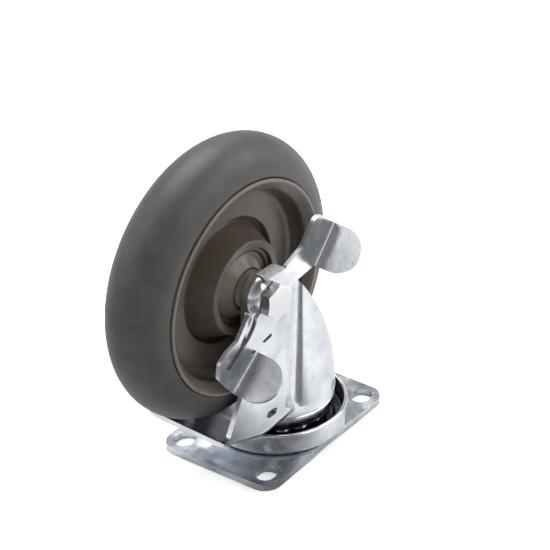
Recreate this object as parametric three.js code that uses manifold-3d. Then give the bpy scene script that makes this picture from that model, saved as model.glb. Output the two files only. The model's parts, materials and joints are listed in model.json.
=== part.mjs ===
// Swivel plate caster with a side-lock brake lever, stored standing on its mounting plate.
//
// Frame: millimetres, +Z up.  The origin is on the swivel axis, in the plane of the mounting face.
// The plate's short side runs along X and its long side along Y.  The wheel is above the plate, as when
// the caster is fitted to an upturned cart.  Everything that swivels is drawn in the fork's own frame,
// where the axle runs along X, and is then turned about Z by restSwivel.

import * as THREE from 'three';
import { mergeVertices } from 'three/addons/utils/BufferGeometryUtils.js';
import Module from 'manifold-3d';

const wasm = await Module();
wasm.setup();

// ---------------------------------------------------------------- driving dimensions

const restSwivel = -3.3;          // degrees, where the fork has come to rest

// clearances
const seatGap = 0.3;              // between two pieces that rest on each other
const runningGap = 0.25;          // radial, between a shaft and its bore
const ballGap = 0.15;             // between a ball and its groove

// mounting plate
const plateWidth = 60.3;
const plateLength = 92.1;
const plateThickness = 3.2;
const plateCornerRadius = 8;
const slotPitchX = 44.5;
const slotPitchY = 73.8;
const slotWidth = 8.7;
const slotLength = 11.1;
const dishRise = 1.6;             // height of the raised centre above the rest of the plate
const dishRadius = 29.5;          // flat top of the raised centre
const dishSlope = 12.5;           // radial run of the slope round it
const dishPunch = 5;              // how much smaller the raised centre is on the underside

// raceway cup, the ring fixed on the plate
const cupRadius = 32.85;
const cupWall = 2;
const cupTop = 15.6;
const cupCornerRadius = 1.8;

// main bearing
const ballDiameter = 7.94;
const ballPitchRadius = 21.5;
const ballCount = 16;
const grooveDepth = 0.5;          // of every ball groove

// upper bearing, which holds the fork down on the main one
const thrustBallDiameter = 4.76;
const thrustPitchRadius = 12.5;
const thrustBallCount = 14;
const raceThickness = 2.2;
const raceRadius = 17;

// king pin
const pinRadius = 5.6;
const pinHeadRadius = 9.4;
const pinHeadHeight = 3.8;
const pinFootRadius = 8.2;

// fork
const sheet = 2.4;
const forkOuterWidth = 44;
const panRadius = 27;
const panBottom = 13.7;
const panCornerRadius = 2.6;
const crownHeight = 19.8;         // underside of the level part of the crown
const crownSlopeStart = -36;
const crownSlope = 18.6;          // degrees
const crownBendRadius = 4.5;
const crownFront = -60.4;
const drumRadius = 26;
const drumCentreY = 2;
const creaseRadius = 4.5;         // fillet down the crease between leg and drum
const shoulderRise = 8.2;         // of the pan's flare, from the crown to where it meets the drum
const shoulderStep = 2.2;         // how far inside the drum the flare runs out
const legEndRadius = 9.1;
const drainSlotLength = 7.1;
const drainSlotHeight = 3.5;
const drainSlotY = -29;
const drainSlotRise = 10.7;       // above the crown

// the trimmed edges of the fork, in side view
const rearRimRise = 1.7;          // of the drum's low rear edge above the crown
const rearRimEnd = 21;
const scarfFoot = { y: 15.6, rise: 6.2 };
const scarfPull = { y: 8.8, rise: 37.2 };
const scarfTop = { behind: 26.9, below: 6.4 };    // from the axle
const rearTangent = 58;           // degrees round the leg's end
const lipRise = 11;               // of the front lip above the crown
const lipCorner = { back: 3.8, up: 2.6 };         // from the lip's top
const legFoot = { back: 11, up: 17.2 };           // from the lip's top
const legWaist = { back: 13.8, up: 23.2 };        // pulls the leg's front edge, from the lip's top
const legFlare = { ahead: 1.4, below: 23.9 };     // pulls it again, from the leg's front and the axle

// wheel
const axleOffset = -38.1;         // axle's Y from the swivel axis
const wheelRadius = 63.5;
const crownClearance = 10.2;      // between the tread and the crown
const hubPlay = 0.5;              // between the hub and each leg
const treadHalfWidth = 15.9;
const treadHeight = 17.5;         // height of the rounded tread above its widest point
const rimRadius = 48.3;
const rimHalfWidth = 16.7;
const rimBandRadius = 44.6;       // where the tyre is bonded on
const rimWall = 2.2;
const rimFlange = 2.3;            // thickness of the core's flange beside the tyre
const rimLip = 1.3;               // flat width of that flange's edge
const webHalfWidth = 6;
const webStepRadius = 28.3;
const grooveHalfWidth = 2.6;
const hubRingOuter = 20.9;
const hubRingInner = 17.9;
const hubRingHalfWidth = 15.4;
const hubFloorHalfWidth = 13.7;
const hubGrooveHalfWidth = 12.5;
const bossRadius = 12.9;

// axle
const axleRadius = 4.76;
const sleeveWall = 1.45;
const bushingWall = 1.7;
const bushingFlangeRadius = 8.6;
const bushingFlangeThickness = 3.8;
const bushingGap = 2.6;           // between the two bushings, midway along the hub
const hexAcrossFlats = 14.3;
const boltHeadHeight = 4.4;
const boltTurn = -6;              // degrees the bolt's hexagon stands off level
const hexCornerDrop = 1.4;        // of the cone that turns off a hexagon's corners
const hexFaceInset = 0.35;        // from the flats to the round edge of the face
const nutHeight = 7.6;
const boltPastNut = 1.5;
const washerRadius = 9;
const washerThickness = 1.6;

// brake lever, one pressing
const leverSheet = 1.9;
const leverDepth = 7;             // from the leg side of the hub's flange to the outer face
const leverHubRadius = 10.3;
const leverHubCorner = 8.4;       // how far the hub's square front corner is rounded
const leverBendRadius = 1.6;
const leverHubBend = 1.8;         // outside radius where the hub's flange turns in
const pedalWidth = 20.2;
const pedalReach = 18;
const lowerPedal = { along: -17.1, up: -28.1, angle: 38.8 };
const upperPedal = { along: 36.1, up: 9.5, angle: 49.9 };
// the lever's outline in side view, as [along, up, corner radius] from the axle
const leverTop = [[9.8, 11.0, 0.5], [20.2, 15.1, 8], [30.6, 27.4, 5]];
const leverCrook = [[12.6, 0.2, 1.5], [11.8, -8.8, 4], [3.4, -13.2, 3], [1.2, -18.6, 1]];
const leverFront = [[-34.6, -22.4, 3.5], [-33.8, -15.4, 4], [-28.6, -12.1, 4]];
const leverSlitSide = [[-22.2, -10.2], [-20.4, -13.3], [-15.8, -11.6], [-11.2, -6.2]];
const fingerRoot = { along: -21.3, up: -11.3 };
const fingerTip = { along: -11.1, up: -4.3 };
const fingerWidth = 2.8;
const fingerDip = 2.2;
const shelfLength = 9.6;          // of the hub's flange along its top
const flangeEnd = 209;            // degrees round the hub, where its flange stops
const slitLine = [[-9.9, -0.4], [-11.2, -6.4], [-15.6, -11.9], [-20.2, -14.7], [-28.0, -19.8]];
const slitWidth = 2.4;
const reliefLine = [[-9.8, -19.8], [-5.2, -18.7], [-1.0, -17.7]];
const reliefWidth = 2;

// roundness of the turned pieces
const fine = 40;
const medium = 28;
const coarse = 20;

// ---------------------------------------------------------------- sizes that follow

const dishTop = plateThickness + dishRise;
const cupBottom = dishTop + seatGap;
const cupFloor = cupBottom + cupWall;
const ballRadius = ballDiameter / 2;
const ballCentreZ = panBottom + grooveDepth - ballRadius;
const panFloor = panBottom + sheet;
const thrustBallRadius = thrustBallDiameter / 2;
const thrustCentreZ = panFloor - grooveDepth + thrustBallRadius;
const raceBottom = thrustCentreZ + thrustBallRadius - grooveDepth;
const raceTop = raceBottom + raceThickness;
const pinBore = pinRadius + runningGap;
const forkInnerWidth = forkOuterWidth - 2 * sheet;
const legOuter = forkOuterWidth / 2;
const legInner = forkInnerWidth / 2;
const axleHeight = crownHeight + sheet + crownClearance + wheelRadius;
const shoulderTop = crownHeight + shoulderRise;
const bandHalfWidth = rimHalfWidth - rimFlange;
const rimFootRadius = (rimBandRadius + rimRadius) / 2;
const hubHalfLength = legInner - hubPlay;
const bossHalfWidth = hubHalfLength - bushingFlangeThickness - seatGap;
const axleBore = axleRadius + runningGap;
const sleeveRadius = axleBore + sleeveWall;
const bushingBore = sleeveRadius + runningGap;
const bushingRadius = bushingBore + bushingWall;
const sleeveHalfLength = legInner - seatGap;
const leverInner = legOuter + seatGap;
const leverOuter = leverInner + leverDepth;
const leverBack = leverOuter - leverSheet;
const boltHeadBase = leverOuter + seatGap;
const washerInner = legOuter + seatGap;
const nutInner = washerInner + washerThickness + seatGap;
const boltEnd = nutInner + nutHeight + boltPastNut;
const above = axleHeight + 30;    // clear of everything the fork's forms are cut from
const past = 1;                   // how far a cutting solid runs past what it cuts

// ---------------------------------------------------------------- helpers

const radians = THREE.MathUtils.degToRad;

// A closed three.js geometry as a solid for cutting and joining.
function solid(geometry) {
  const bare = geometry.index ? geometry.toNonIndexed() : geometry.clone();
  bare.deleteAttribute('normal');
  bare.deleteAttribute('uv');
  const merged = mergeVertices(bare, 1e-4);
  const mesh = new wasm.Mesh({
    numProp: 3,
    vertProperties: new Float32Array(merged.attributes.position.array),
    triVerts: new Uint32Array(merged.index.array),
  });
  return new wasm.Manifold(mesh);
}

// A solid back as a named, coloured three.js mesh.
function piece(name, body, finish) {
  const { vertProperties, triVerts } = body.getMesh();
  const geometry = new THREE.BufferGeometry();
  geometry.setAttribute('position', new THREE.BufferAttribute(new Float32Array(vertProperties), 3));
  geometry.setIndex(new THREE.BufferAttribute(new Uint32Array(triVerts), 1));
  geometry.computeVertexNormals();
  const mesh = new THREE.Mesh(geometry, new THREE.MeshStandardMaterial(finish));
  mesh.name = name;
  return mesh;
}

// Side views are drawn as (along Y, up Z) and extruded along X.
const sideView = new THREE.Matrix4().makeBasis(
  new THREE.Vector3(0, 1, 0),
  new THREE.Vector3(0, 0, 1),
  new THREE.Vector3(1, 0, 0),
);

// A side-view outline made solid between two X values, with its edges rounded by edgeRadius.
function sidePrism(shape, fromX, toX, edgeRadius = 0) {
  const geometry = new THREE.ExtrudeGeometry(shape, {
    depth: toX - fromX - 2 * edgeRadius,
    curveSegments: 8,
    bevelEnabled: edgeRadius > 0,
    bevelThickness: edgeRadius,
    bevelSize: edgeRadius,
    bevelOffset: -edgeRadius,
    bevelSegments: 3,
  });
  geometry.translate(0, 0, fromX + edgeRadius);
  geometry.applyMatrix4(sideView);
  return solid(geometry);
}

// A plan outline made solid between two heights.
function planPrism(shape, fromZ, toZ) {
  const geometry = new THREE.ExtrudeGeometry(shape, {
    depth: toZ - fromZ,
    curveSegments: 8,
    bevelEnabled: false,
  });
  geometry.translate(0, 0, fromZ);
  return solid(geometry);
}

// A profile of [radius, height] points turned about Z.
function turned(points, segments) {
  const geometry = new THREE.LatheGeometry(points.map(([r, z]) => new THREE.Vector2(r, z)), segments);
  geometry.rotateX(Math.PI / 2);
  const body = solid(geometry);
  return body.volume() < 0 ? flipped(geometry) : body;
}

// The same turned profile with its faces the other way round.
function flipped(geometry) {
  const loose = geometry.toNonIndexed();
  const position = loose.attributes.position;
  for (let i = 0; i < position.count; i += 3) {
    const second = new THREE.Vector3().fromBufferAttribute(position, i + 1);
    const third = new THREE.Vector3().fromBufferAttribute(position, i + 2);
    position.setXYZ(i + 1, third.x, third.y, third.z);
    position.setXYZ(i + 2, second.x, second.y, second.z);
  }
  return solid(loose);
}

// A ring of [radius, height] corners turned about Z; the last corner joins the first.
const ring = (points, segments) => turned([...points, points[0]], segments);

// A solid turned about Z laid along the axle, with its height running along X.
const alongAxle = (body) => body.rotate([0, 90, 0]);

// Points of a smooth slope between two levels, from one radius to another.
function easedSlope(fromR, fromZ, toR, toZ, steps) {
  const points = [];
  for (let i = 0; i <= steps; i += 1) {
    const part = i / steps;
    const height = THREE.MathUtils.lerp(fromZ, toZ, THREE.MathUtils.smoothstep(part, 0, 1));
    points.push([THREE.MathUtils.lerp(fromR, toR, part), height]);
  }
  return points;
}

// Points of a rounded corner from one angle to another, in degrees.
function arc(centreR, centreZ, radius, from, to, steps = 4) {
  const points = [];
  for (let i = 0; i <= steps; i += 1) {
    const angle = radians(from + (to - from) * i / steps);
    points.push([centreR + radius * Math.cos(angle), centreZ + radius * Math.sin(angle)]);
  }
  return points;
}

function cylinder(radius, fromZ, toZ, segments) {
  return turned([[0, fromZ], [radius, fromZ], [radius, toZ], [0, toZ]], segments);
}

// A round groove for balls: the torus that they and their clearance sweep.
function ballTrack(pitchRadius, centreZ, radius, segments) {
  const section = arc(pitchRadius, centreZ, radius, 0, 330, 11);
  return ring(section, segments);
}

function polygon(points) {
  return new THREE.Shape(points.map(([x, y]) => new THREE.Vector2(x, y)));
}

// A closed outline whose corners are rounded: each point is [x, y, radius].
function roundedOutline(points) {
  const shape = new THREE.Shape();
  points.forEach(([x, y, radius = 0], i) => {
    const corner = new THREE.Vector2(x, y);
    const before = points[(i + points.length - 1) % points.length];
    const after = points[(i + 1) % points.length];
    const back = new THREE.Vector2(before[0] - x, before[1] - y).normalize();
    const ahead = new THREE.Vector2(after[0] - x, after[1] - y).normalize();
    const half = Math.acos(THREE.MathUtils.clamp(back.dot(ahead), -1, 1)) / 2;
    const cut = radius > 0 ? radius / Math.tan(half) : 0;
    const start = corner.clone().addScaledVector(back, cut);
    const end = corner.clone().addScaledVector(ahead, cut);
    if (i === 0) {
      shape.moveTo(start.x, start.y);
    } else {
      shape.lineTo(start.x, start.y);
    }
    if (cut > 0) {
      shape.quadraticCurveTo(x, y, end.x, end.y);
    }
  });
  shape.closePath();
  return shape;
}

// A round-ended slot along a smooth line through the given points.
function slotAlong(points, width) {
  const line = new THREE.SplineCurve(points.map(([x, y]) => new THREE.Vector2(x, y)));
  const steps = 4 * (points.length - 1);
  const left = [];
  const right = [];
  for (let i = 0; i <= steps; i += 1) {
    const at = line.getPoint(i / steps);
    const tangent = line.getTangent(i / steps);
    const side = new THREE.Vector2(-tangent.y, tangent.x).multiplyScalar(width / 2);
    left.push(at.clone().add(side));
    right.unshift(at.clone().sub(side));
  }
  const cap = (at, fromSide) => {
    const points = [];
    for (let i = 1; i < 5; i += 1) {
      points.push(fromSide.clone().rotateAround(new THREE.Vector2(), -Math.PI * i / 5).add(at));
    }
    return points;
  };
  const last = line.getPoint(1);
  const first = line.getPoint(0);
  const endCap = cap(last, left[left.length - 1].clone().sub(last));
  const startCap = cap(first, right[right.length - 1].clone().sub(first));
  return new THREE.Shape([...left, ...endCap, ...right, ...startCap]);
}

// ---------------------------------------------------------------- finishes

const zinc = { color: 0xc9cdd2, roughness: 0.28, metalness: 1 };
const dullZinc = { color: 0xaab0b6, roughness: 0.4, metalness: 1 };
const steel = { color: 0xb5b8bc, roughness: 0.25, metalness: 1 };
const rubber = { color: 0x5a5755, roughness: 0.7, metalness: 0 };
const corePlastic = { color: 0x746b64, roughness: 0.5, metalness: 0 };
const nylon = { color: 0xd8d2c4, roughness: 0.5, metalness: 0 };

// ---------------------------------------------------------------- fixed side

function mountingPlate() {
  const halfWidth = plateWidth / 2;
  const halfLength = plateLength / 2;
  const outline = roundedOutline([
    [-halfWidth, -halfLength, plateCornerRadius],
    [halfWidth, -halfLength, plateCornerRadius],
    [halfWidth, halfLength, plateCornerRadius],
    [-halfWidth, halfLength, plateCornerRadius],
  ]);
  const blank = plateLength;
  const pinHole = pinRadius + seatGap;
  const pressed = ring([
    [pinHole, dishTop],
    ...easedSlope(dishRadius, dishTop, dishRadius + dishSlope, plateThickness, 5),
    [blank, plateThickness],
    [blank, 0],
    ...easedSlope(dishRadius + dishSlope - dishPunch - past, 0, dishRadius - dishPunch, dishRise, 3),
    [pinFootRadius + seatGap, dishRise],
    [pinFootRadius + seatGap, dishRise + 0.3],
    [pinHole, dishTop - 0.9],
  ], fine);
  let plate = pressed.intersect(planPrism(outline, -past, dishTop + past));
  const slotReach = (slotLength - slotWidth) / 2;
  for (const x of [-slotPitchX / 2, slotPitchX / 2]) {
    for (const y of [-slotPitchY / 2, slotPitchY / 2]) {
      const slot = slotAlong([[x, y - slotReach], [x, y], [x, y + slotReach]], slotWidth);
      plate = plate.subtract(planPrism(slot, -past, dishTop + past));
    }
  }
  return plate;
}

function racewayCup() {
  const inner = cupRadius - cupWall;
  const section = [
    [pinRadius + seatGap, cupBottom],
    ...arc(cupRadius - cupCornerRadius, cupBottom + cupCornerRadius, cupCornerRadius, -90, 0, 4),
    ...arc(cupRadius - cupWall / 2, cupTop - cupWall / 2, cupWall / 2, 0, 180, 4),
    ...arc(inner - 1.2, cupFloor + 1.2, 1.2, 0, -90, 2),
    [pinRadius + seatGap, cupFloor],
  ];
  const track = ballTrack(ballPitchRadius, ballCentreZ, ballRadius + ballGap, medium);
  return ring(section, fine).subtract(track);
}

function bearingRace() {
  const bore = pinRadius + seatGap;
  const section = [
    [bore, raceBottom],
    [raceRadius, raceBottom],
    ...arc(raceRadius - 0.8, raceTop - 0.8, 0.8, 0, 90, 2),
    [bore, raceTop],
  ];
  const track = ballTrack(thrustPitchRadius, thrustCentreZ, thrustBallRadius + ballGap, medium);
  return ring(section, medium).subtract(track);
}

function kingPin() {
  const headBase = raceTop + seatGap;
  const footZ = 0;
  return turned([
    [0, footZ],
    [pinFootRadius - 0.4, footZ],
    [pinFootRadius, footZ + 0.4],
    [pinFootRadius, dishRise + 0.1],
    [pinRadius, dishTop - 1.2],
    [pinRadius, headBase],
    [pinHeadRadius, headBase],
    [pinHeadRadius, headBase + pinHeadHeight * 0.45],
    [pinHeadRadius * 0.82, headBase + pinHeadHeight * 0.82],
    [pinHeadRadius * 0.45, headBase + pinHeadHeight],
    [0, headBase + pinHeadHeight],
  ], coarse);
}

// A set of balls evenly round the swivel axis, each its own piece.
function ballSet(label, count, radius, pitchRadius, centreZ) {
  const balls = [];
  for (let i = 0; i < count; i += 1) {
    const geometry = new THREE.IcosahedronGeometry(radius, 1);
    const ball = piece(`${label}_${String(i + 1).padStart(2, '0')}`, solid(geometry), steel);
    const angle = 2 * Math.PI * i / count;
    ball.position.set(pitchRadius * Math.cos(angle), pitchRadius * Math.sin(angle), centreZ);
    balls.push(ball);
  }
  return balls;
}

// ---------------------------------------------------------------- fork

// Side view of the pressing's bottom face, from far in front to behind the drum's axis, raised by lift.
function crownOutline(lift) {
  const slope = Math.tan(radians(crownSlope));
  const reach = 20;
  const frontY = crownFront - reach;
  const base = crownHeight + lift;
  const kneeY = crownSlopeStart + lift * Math.tan(radians(crownSlope / 2));
  return polygon([
    [frontY, base + (kneeY - frontY) * slope],
    [kneeY, base],
    [drumCentreY + 4 - lift, base],
    [drumCentreY + 4 - lift, above],
    [frontY, above],
  ]);
}

// Side view of where the blank was trimmed: front lip, leg edges, round leg end and the drum's scarf cut.
function trimOutline() {
  const below = panBottom - 5;
  const behind = panRadius + 10;
  const rearRim = crownHeight + rearRimRise;
  const lipTop = crownHeight + lipRise;
  const scarfTopY = axleOffset + scarfTop.behind;
  const scarfTopZ = axleHeight - scarfTop.below;
  const legEnd = new THREE.Vector2(legEndRadius, 0).rotateAround(new THREE.Vector2(), radians(rearTangent));
  const shape = new THREE.Shape();
  shape.moveTo(crownFront, below);
  shape.lineTo(behind, below);
  shape.lineTo(behind, rearRim);
  shape.lineTo(rearRimEnd, rearRim);
  shape.quadraticCurveTo(scarfFoot.y + 1.4, rearRim, scarfFoot.y, crownHeight + scarfFoot.rise);
  shape.quadraticCurveTo(scarfPull.y, crownHeight + scarfPull.rise, scarfTopY, scarfTopZ);
  shape.lineTo(axleOffset + legEnd.x, axleHeight + legEnd.y);
  shape.absarc(axleOffset, axleHeight, legEndRadius, radians(rearTangent), Math.PI, false);
  shape.bezierCurveTo(
    axleOffset - legEndRadius + legFlare.ahead,
    axleHeight - legFlare.below,
    crownFront + legWaist.back,
    lipTop + legWaist.up,
    crownFront + legFoot.back,
    lipTop + legFoot.up,
  );
  shape.lineTo(crownFront + lipCorner.back, lipTop + lipCorner.up);
  shape.quadraticCurveTo(crownFront + lipCorner.back - 1, lipTop + 0.4, crownFront, lipTop);
  shape.closePath();
  return shape;
}

// The drum and the bearing pan below it, as a solid of the given wall set-back.
function drumForm(inset) {
  const base = panBottom + inset;
  const corner = Math.max(panCornerRadius - inset, 0.5);
  const panEdge = panRadius - inset;
  const pan = turned([
    [0, base],
    ...arc(panEdge - corner, base + corner, corner, -90, 0, 3),
    ...easedSlope(panEdge, crownHeight, drumRadius - inset - shoulderStep, shoulderTop, 3),
    [0, shoulderTop],
  ], fine);
  const drum = cylinder(drumRadius - inset, crownHeight + inset, above, fine);
  return pan.add(drum.translate([0, drumCentreY, 0]));
}

// Metal that rounds the inward corner where a leg meets the drum, on the side given as 1 or -1.
function creaseFiller(side, inset) {
  const centreX = legOuter + creaseRadius;
  const drop = Math.sqrt((drumRadius + creaseRadius) ** 2 - centreX ** 2);
  const end = THREE.MathUtils.radToDeg(Math.atan2(drop, -centreX));
  const fillet = arc(centreX, drumCentreY - drop, creaseRadius + inset, 180, end, 4);
  const buried = legOuter - inset - 3;
  const outline = [[buried, drumCentreY - drop], ...fillet, [buried, fillet[fillet.length - 1][1]]];
  const foot = crownHeight + shoulderRise / 2 - past + inset;
  return planPrism(polygon(outline.map(([x, y]) => [side * x, y])), foot, above - past);
}

// The space that the pressing wraps: its outside at inset 0, its inside at the sheet's thickness.
function forkForm(inset) {
  const half = legOuter - inset;
  return sidePrism(crownOutline(inset), -half, half, crownBendRadius - inset)
    .add(drumForm(inset))
    .add(creaseFiller(1, inset))
    .add(creaseFiller(-1, inset));
}

function fork() {
  const reach = panRadius + 5;
  const drainReach = (drainSlotLength - drainSlotHeight) / 2;
  const drainZ = crownHeight + drainSlotRise;
  const drain = slotAlong([
    [drainSlotY - drainReach, drainZ],
    [drainSlotY, drainZ],
    [drainSlotY + drainReach, drainZ],
  ], drainSlotHeight);
  const axleHole = alongAxle(cylinder(axleBore, -reach, reach, coarse))
    .translate([0, axleOffset, axleHeight]);
  return forkForm(0)
    .intersect(sidePrism(trimOutline(), -reach, reach))
    .subtract(forkForm(sheet))
    .subtract(sidePrism(drain, -reach, reach))
    .subtract(axleHole)
    .subtract(cylinder(pinBore + 1.2, panBottom - past, panFloor + past, coarse))
    .subtract(ballTrack(ballPitchRadius, ballCentreZ, ballRadius + ballGap, medium))
    .subtract(ballTrack(thrustPitchRadius, thrustCentreZ, thrustBallRadius + ballGap, coarse));
}

// ---------------------------------------------------------------- wheel, about its own axle

// One side of a symmetrical wheel section is given as [radius, offset]; the other is its mirror.
function mirroredRing(half, segments) {
  const other = half.map(([r, x]) => [r, -x]).reverse();
  return alongAxle(ring([...half, ...other], segments));
}

function tyre() {
  const base = wheelRadius - treadHeight;
  const tread = [];
  const steps = 9;
  const lipAngle = Math.asin((rimRadius - base) / treadHeight);
  for (let i = 1; i < steps; i += 1) {
    const angle = lipAngle + (Math.PI / 2 - lipAngle) * i / steps;
    tread.push([base + treadHeight * Math.sin(angle), treadHalfWidth * Math.cos(angle)]);
  }
  return mirroredRing([
    [rimBandRadius + seatGap, bandHalfWidth - 1.4 - seatGap],
    [rimFootRadius, bandHalfWidth - 0.4 - seatGap],
    [rimRadius + 0.2, bandHalfWidth],
    ...tread,
    [wheelRadius, 0.8],
  ], fine);
}

function wheelCore() {
  const hubFloorRadius = (hubRingInner + bossRadius) / 2;
  return mirroredRing([
    [bushingRadius + seatGap, bossHalfWidth],
    [bossRadius - 0.4, bossHalfWidth],
    [bossRadius, bossHalfWidth - 0.4],
    [bossRadius + 1.5, hubGrooveHalfWidth],
    [hubFloorRadius, hubGrooveHalfWidth + 0.3],
    [hubFloorRadius + 0.8, hubFloorHalfWidth],
    [hubRingInner - 0.4, hubFloorHalfWidth],
    [hubRingInner, hubRingHalfWidth],
    [hubRingOuter - 0.4, hubRingHalfWidth],
    [hubRingOuter, hubRingHalfWidth - 0.6],
    [webStepRadius - 2.6, grooveHalfWidth + 1.6],
    [webStepRadius - 1, grooveHalfWidth],
    [webStepRadius - 0.4, grooveHalfWidth + 0.2],
    [webStepRadius, webHalfWidth - 0.6],
    [webStepRadius + 0.7, webHalfWidth],
    [rimBandRadius - 5.6, webHalfWidth],
    [rimBandRadius - 3.8, webHalfWidth + 1],
    [rimBandRadius - rimWall - 0.6, webHalfWidth + 3],
    [rimBandRadius - rimWall, bandHalfWidth - 2.4],
    [rimBandRadius - 0.6, bandHalfWidth],
    [rimRadius - 2.1, rimHalfWidth - 0.6],
    [rimRadius - rimLip, rimHalfWidth],
    [rimRadius - 0.5, rimHalfWidth],
    [rimRadius, rimHalfWidth - 0.6],
    [rimRadius - 0.2, bandHalfWidth + 0.4],
    [rimFootRadius, bandHalfWidth - 0.4],
    [rimBandRadius, bandHalfWidth - 1.4],
  ], fine);
}

function bushing() {
  const flangeBack = bossHalfWidth + seatGap;
  return alongAxle(ring([
    [bushingBore, hubHalfLength],
    [bushingBore, bushingGap / 2],
    [bushingRadius, bushingGap / 2],
    [bushingRadius, flangeBack],
    [bushingFlangeRadius, flangeBack],
    [bushingFlangeRadius, hubHalfLength - 0.4],
    [bushingFlangeRadius - 0.4, hubHalfLength],
  ], coarse));
}

function axleSleeve() {
  return alongAxle(ring([
    [axleBore, -sleeveHalfLength],
    [sleeveRadius, -sleeveHalfLength],
    [sleeveRadius, sleeveHalfLength],
    [axleBore, sleeveHalfLength],
  ], coarse));
}

// ---------------------------------------------------------------- axle bolt and nut, about the axle

// A hexagonal prism from one offset to another, its corners turned off at chamferAt.
function hexPrism(from, to, chamferAt) {
  const cornerRadius = hexAcrossFlats / Math.sqrt(3);
  const corners = [];
  for (let i = 0; i < 6; i += 1) {
    corners.push([cornerRadius * Math.cos(i * Math.PI / 3), cornerRadius * Math.sin(i * Math.PI / 3)]);
  }
  const hex = planPrism(polygon(corners), from, to);
  const flat = hexAcrossFlats / 2 - hexFaceInset;
  const wide = cornerRadius + 1;
  const below = chamferAt === 'both' ? [[flat, from], [wide, from + hexCornerDrop]] : [[wide, from]];
  const body = turned([[0, from], ...below, [wide, to - hexCornerDrop], [flat, to], [0, to]], coarse);
  return hex.intersect(body);
}

function axleBolt() {
  const shank = turned([
    [0, -boltEnd],
    [axleRadius - 0.8, -boltEnd],
    [axleRadius, -boltEnd + 0.8],
    [axleRadius, boltHeadBase + 0.5],
    [0, boltHeadBase + 0.5],
  ], coarse);
  const head = hexPrism(boltHeadBase, boltHeadBase + boltHeadHeight, 'top').rotate([0, 0, boltTurn]);
  return alongAxle(shank.add(head));
}

function lockNut() {
  const nut = hexPrism(nutInner, nutInner + nutHeight, 'both');
  const hole = cylinder(axleBore, nutInner - past, nutInner + nutHeight + past, coarse);
  return alongAxle(nut.subtract(hole)).rotate([0, 0, 180]);
}

function flatWasher() {
  return alongAxle(ring([
    [axleBore, washerInner],
    [washerRadius, washerInner],
    [washerRadius, washerInner + washerThickness],
    [axleBore, washerInner + washerThickness],
  ], coarse)).rotate([0, 0, 180]);
}

// ---------------------------------------------------------------- brake lever, about the axle

// The middle of a pedal's bend line, with the directions along it and away from the hub.
function pedalFrame({ along, up, angle }) {
  const turn = radians(angle);
  return {
    middle: new THREE.Vector2(along, up),
    across: new THREE.Vector2(Math.cos(turn), Math.sin(turn)),
    away: new THREE.Vector2(Math.sin(turn), -Math.cos(turn)),
  };
}

// Where the flat arm stops and the pedal's bend begins: one end of the bend line.
function bendEnd(pedal, side) {
  const { middle, across, away } = pedalFrame(pedal);
  const point = middle.clone()
    .addScaledVector(across, side * pedalWidth / 2)
    .addScaledVector(away, -leverBendRadius);
  return [point.x, point.y];
}

// A pedal: the sheet turned outwards through a right angle, with a half-round end.
function pedalSolid(pedal) {
  const { middle, across, away } = pedalFrame(pedal);
  const tongue = 5;
  const bendCentre = leverBack + leverBendRadius + leverSheet;
  const tip = leverOuter + pedalReach;
  const section = new THREE.Shape();
  section.moveTo(-leverBendRadius - tongue, leverBack);
  section.lineTo(-leverBendRadius, leverBack);
  section.absarc(-leverBendRadius, bendCentre, leverBendRadius + leverSheet, -Math.PI / 2, 0, false);
  section.lineTo(leverSheet, tip);
  section.lineTo(0, tip);
  section.lineTo(0, bendCentre);
  section.absarc(-leverBendRadius, bendCentre, leverBendRadius, 0, -Math.PI / 2, true);
  section.lineTo(-leverBendRadius - tongue, leverOuter);
  section.closePath();
  const strip = new THREE.ExtrudeGeometry(section, {
    depth: pedalWidth,
    curveSegments: 6,
    bevelEnabled: false,
  });
  strip.translate(0, 0, -pedalWidth / 2);

  const face = new THREE.Shape();
  const radius = pedalWidth / 2;
  face.moveTo(-radius, leverBack - 1);
  face.lineTo(radius, leverBack - 1);
  face.lineTo(radius, tip - radius);
  face.absarc(0, tip - radius, radius, 0, Math.PI, false);
  face.closePath();
  const cookie = new THREE.ExtrudeGeometry(face, {
    depth: leverSheet + tongue + 4,
    curveSegments: 20,
    bevelEnabled: false,
  });
  cookie.translate(0, 0, -leverBendRadius - tongue - 1);

  const acrossAxis = new THREE.Vector3(0, across.x, across.y);
  const awayAxis = new THREE.Vector3(0, away.x, away.y);
  const outAxis = new THREE.Vector3(1, 0, 0);
  strip.applyMatrix4(new THREE.Matrix4().makeBasis(awayAxis, outAxis, acrossAxis.clone().negate()));
  cookie.applyMatrix4(new THREE.Matrix4().makeBasis(acrossAxis, outAxis, awayAxis));
  return solid(strip).intersect(solid(cookie)).translate([0, middle.x, middle.y]);
}

// The flat of the pressing round the bolt, with its two arms and the spring finger's root.
function leverFlat() {
  const outline = roundedOutline([
    [-leverHubRadius, 0],
    [-leverHubRadius, leverHubRadius, leverHubCorner],
    [shelfLength, leverHubRadius],
    ...leverTop,
    bendEnd(upperPedal, 1),
    bendEnd(upperPedal, -1),
    ...leverCrook,
    bendEnd(lowerPedal, 1),
    bendEnd(lowerPedal, -1),
    ...leverFront,
    ...leverSlitSide,
  ]);
  return sidePrism(outline, leverBack, leverOuter);
}

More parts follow.
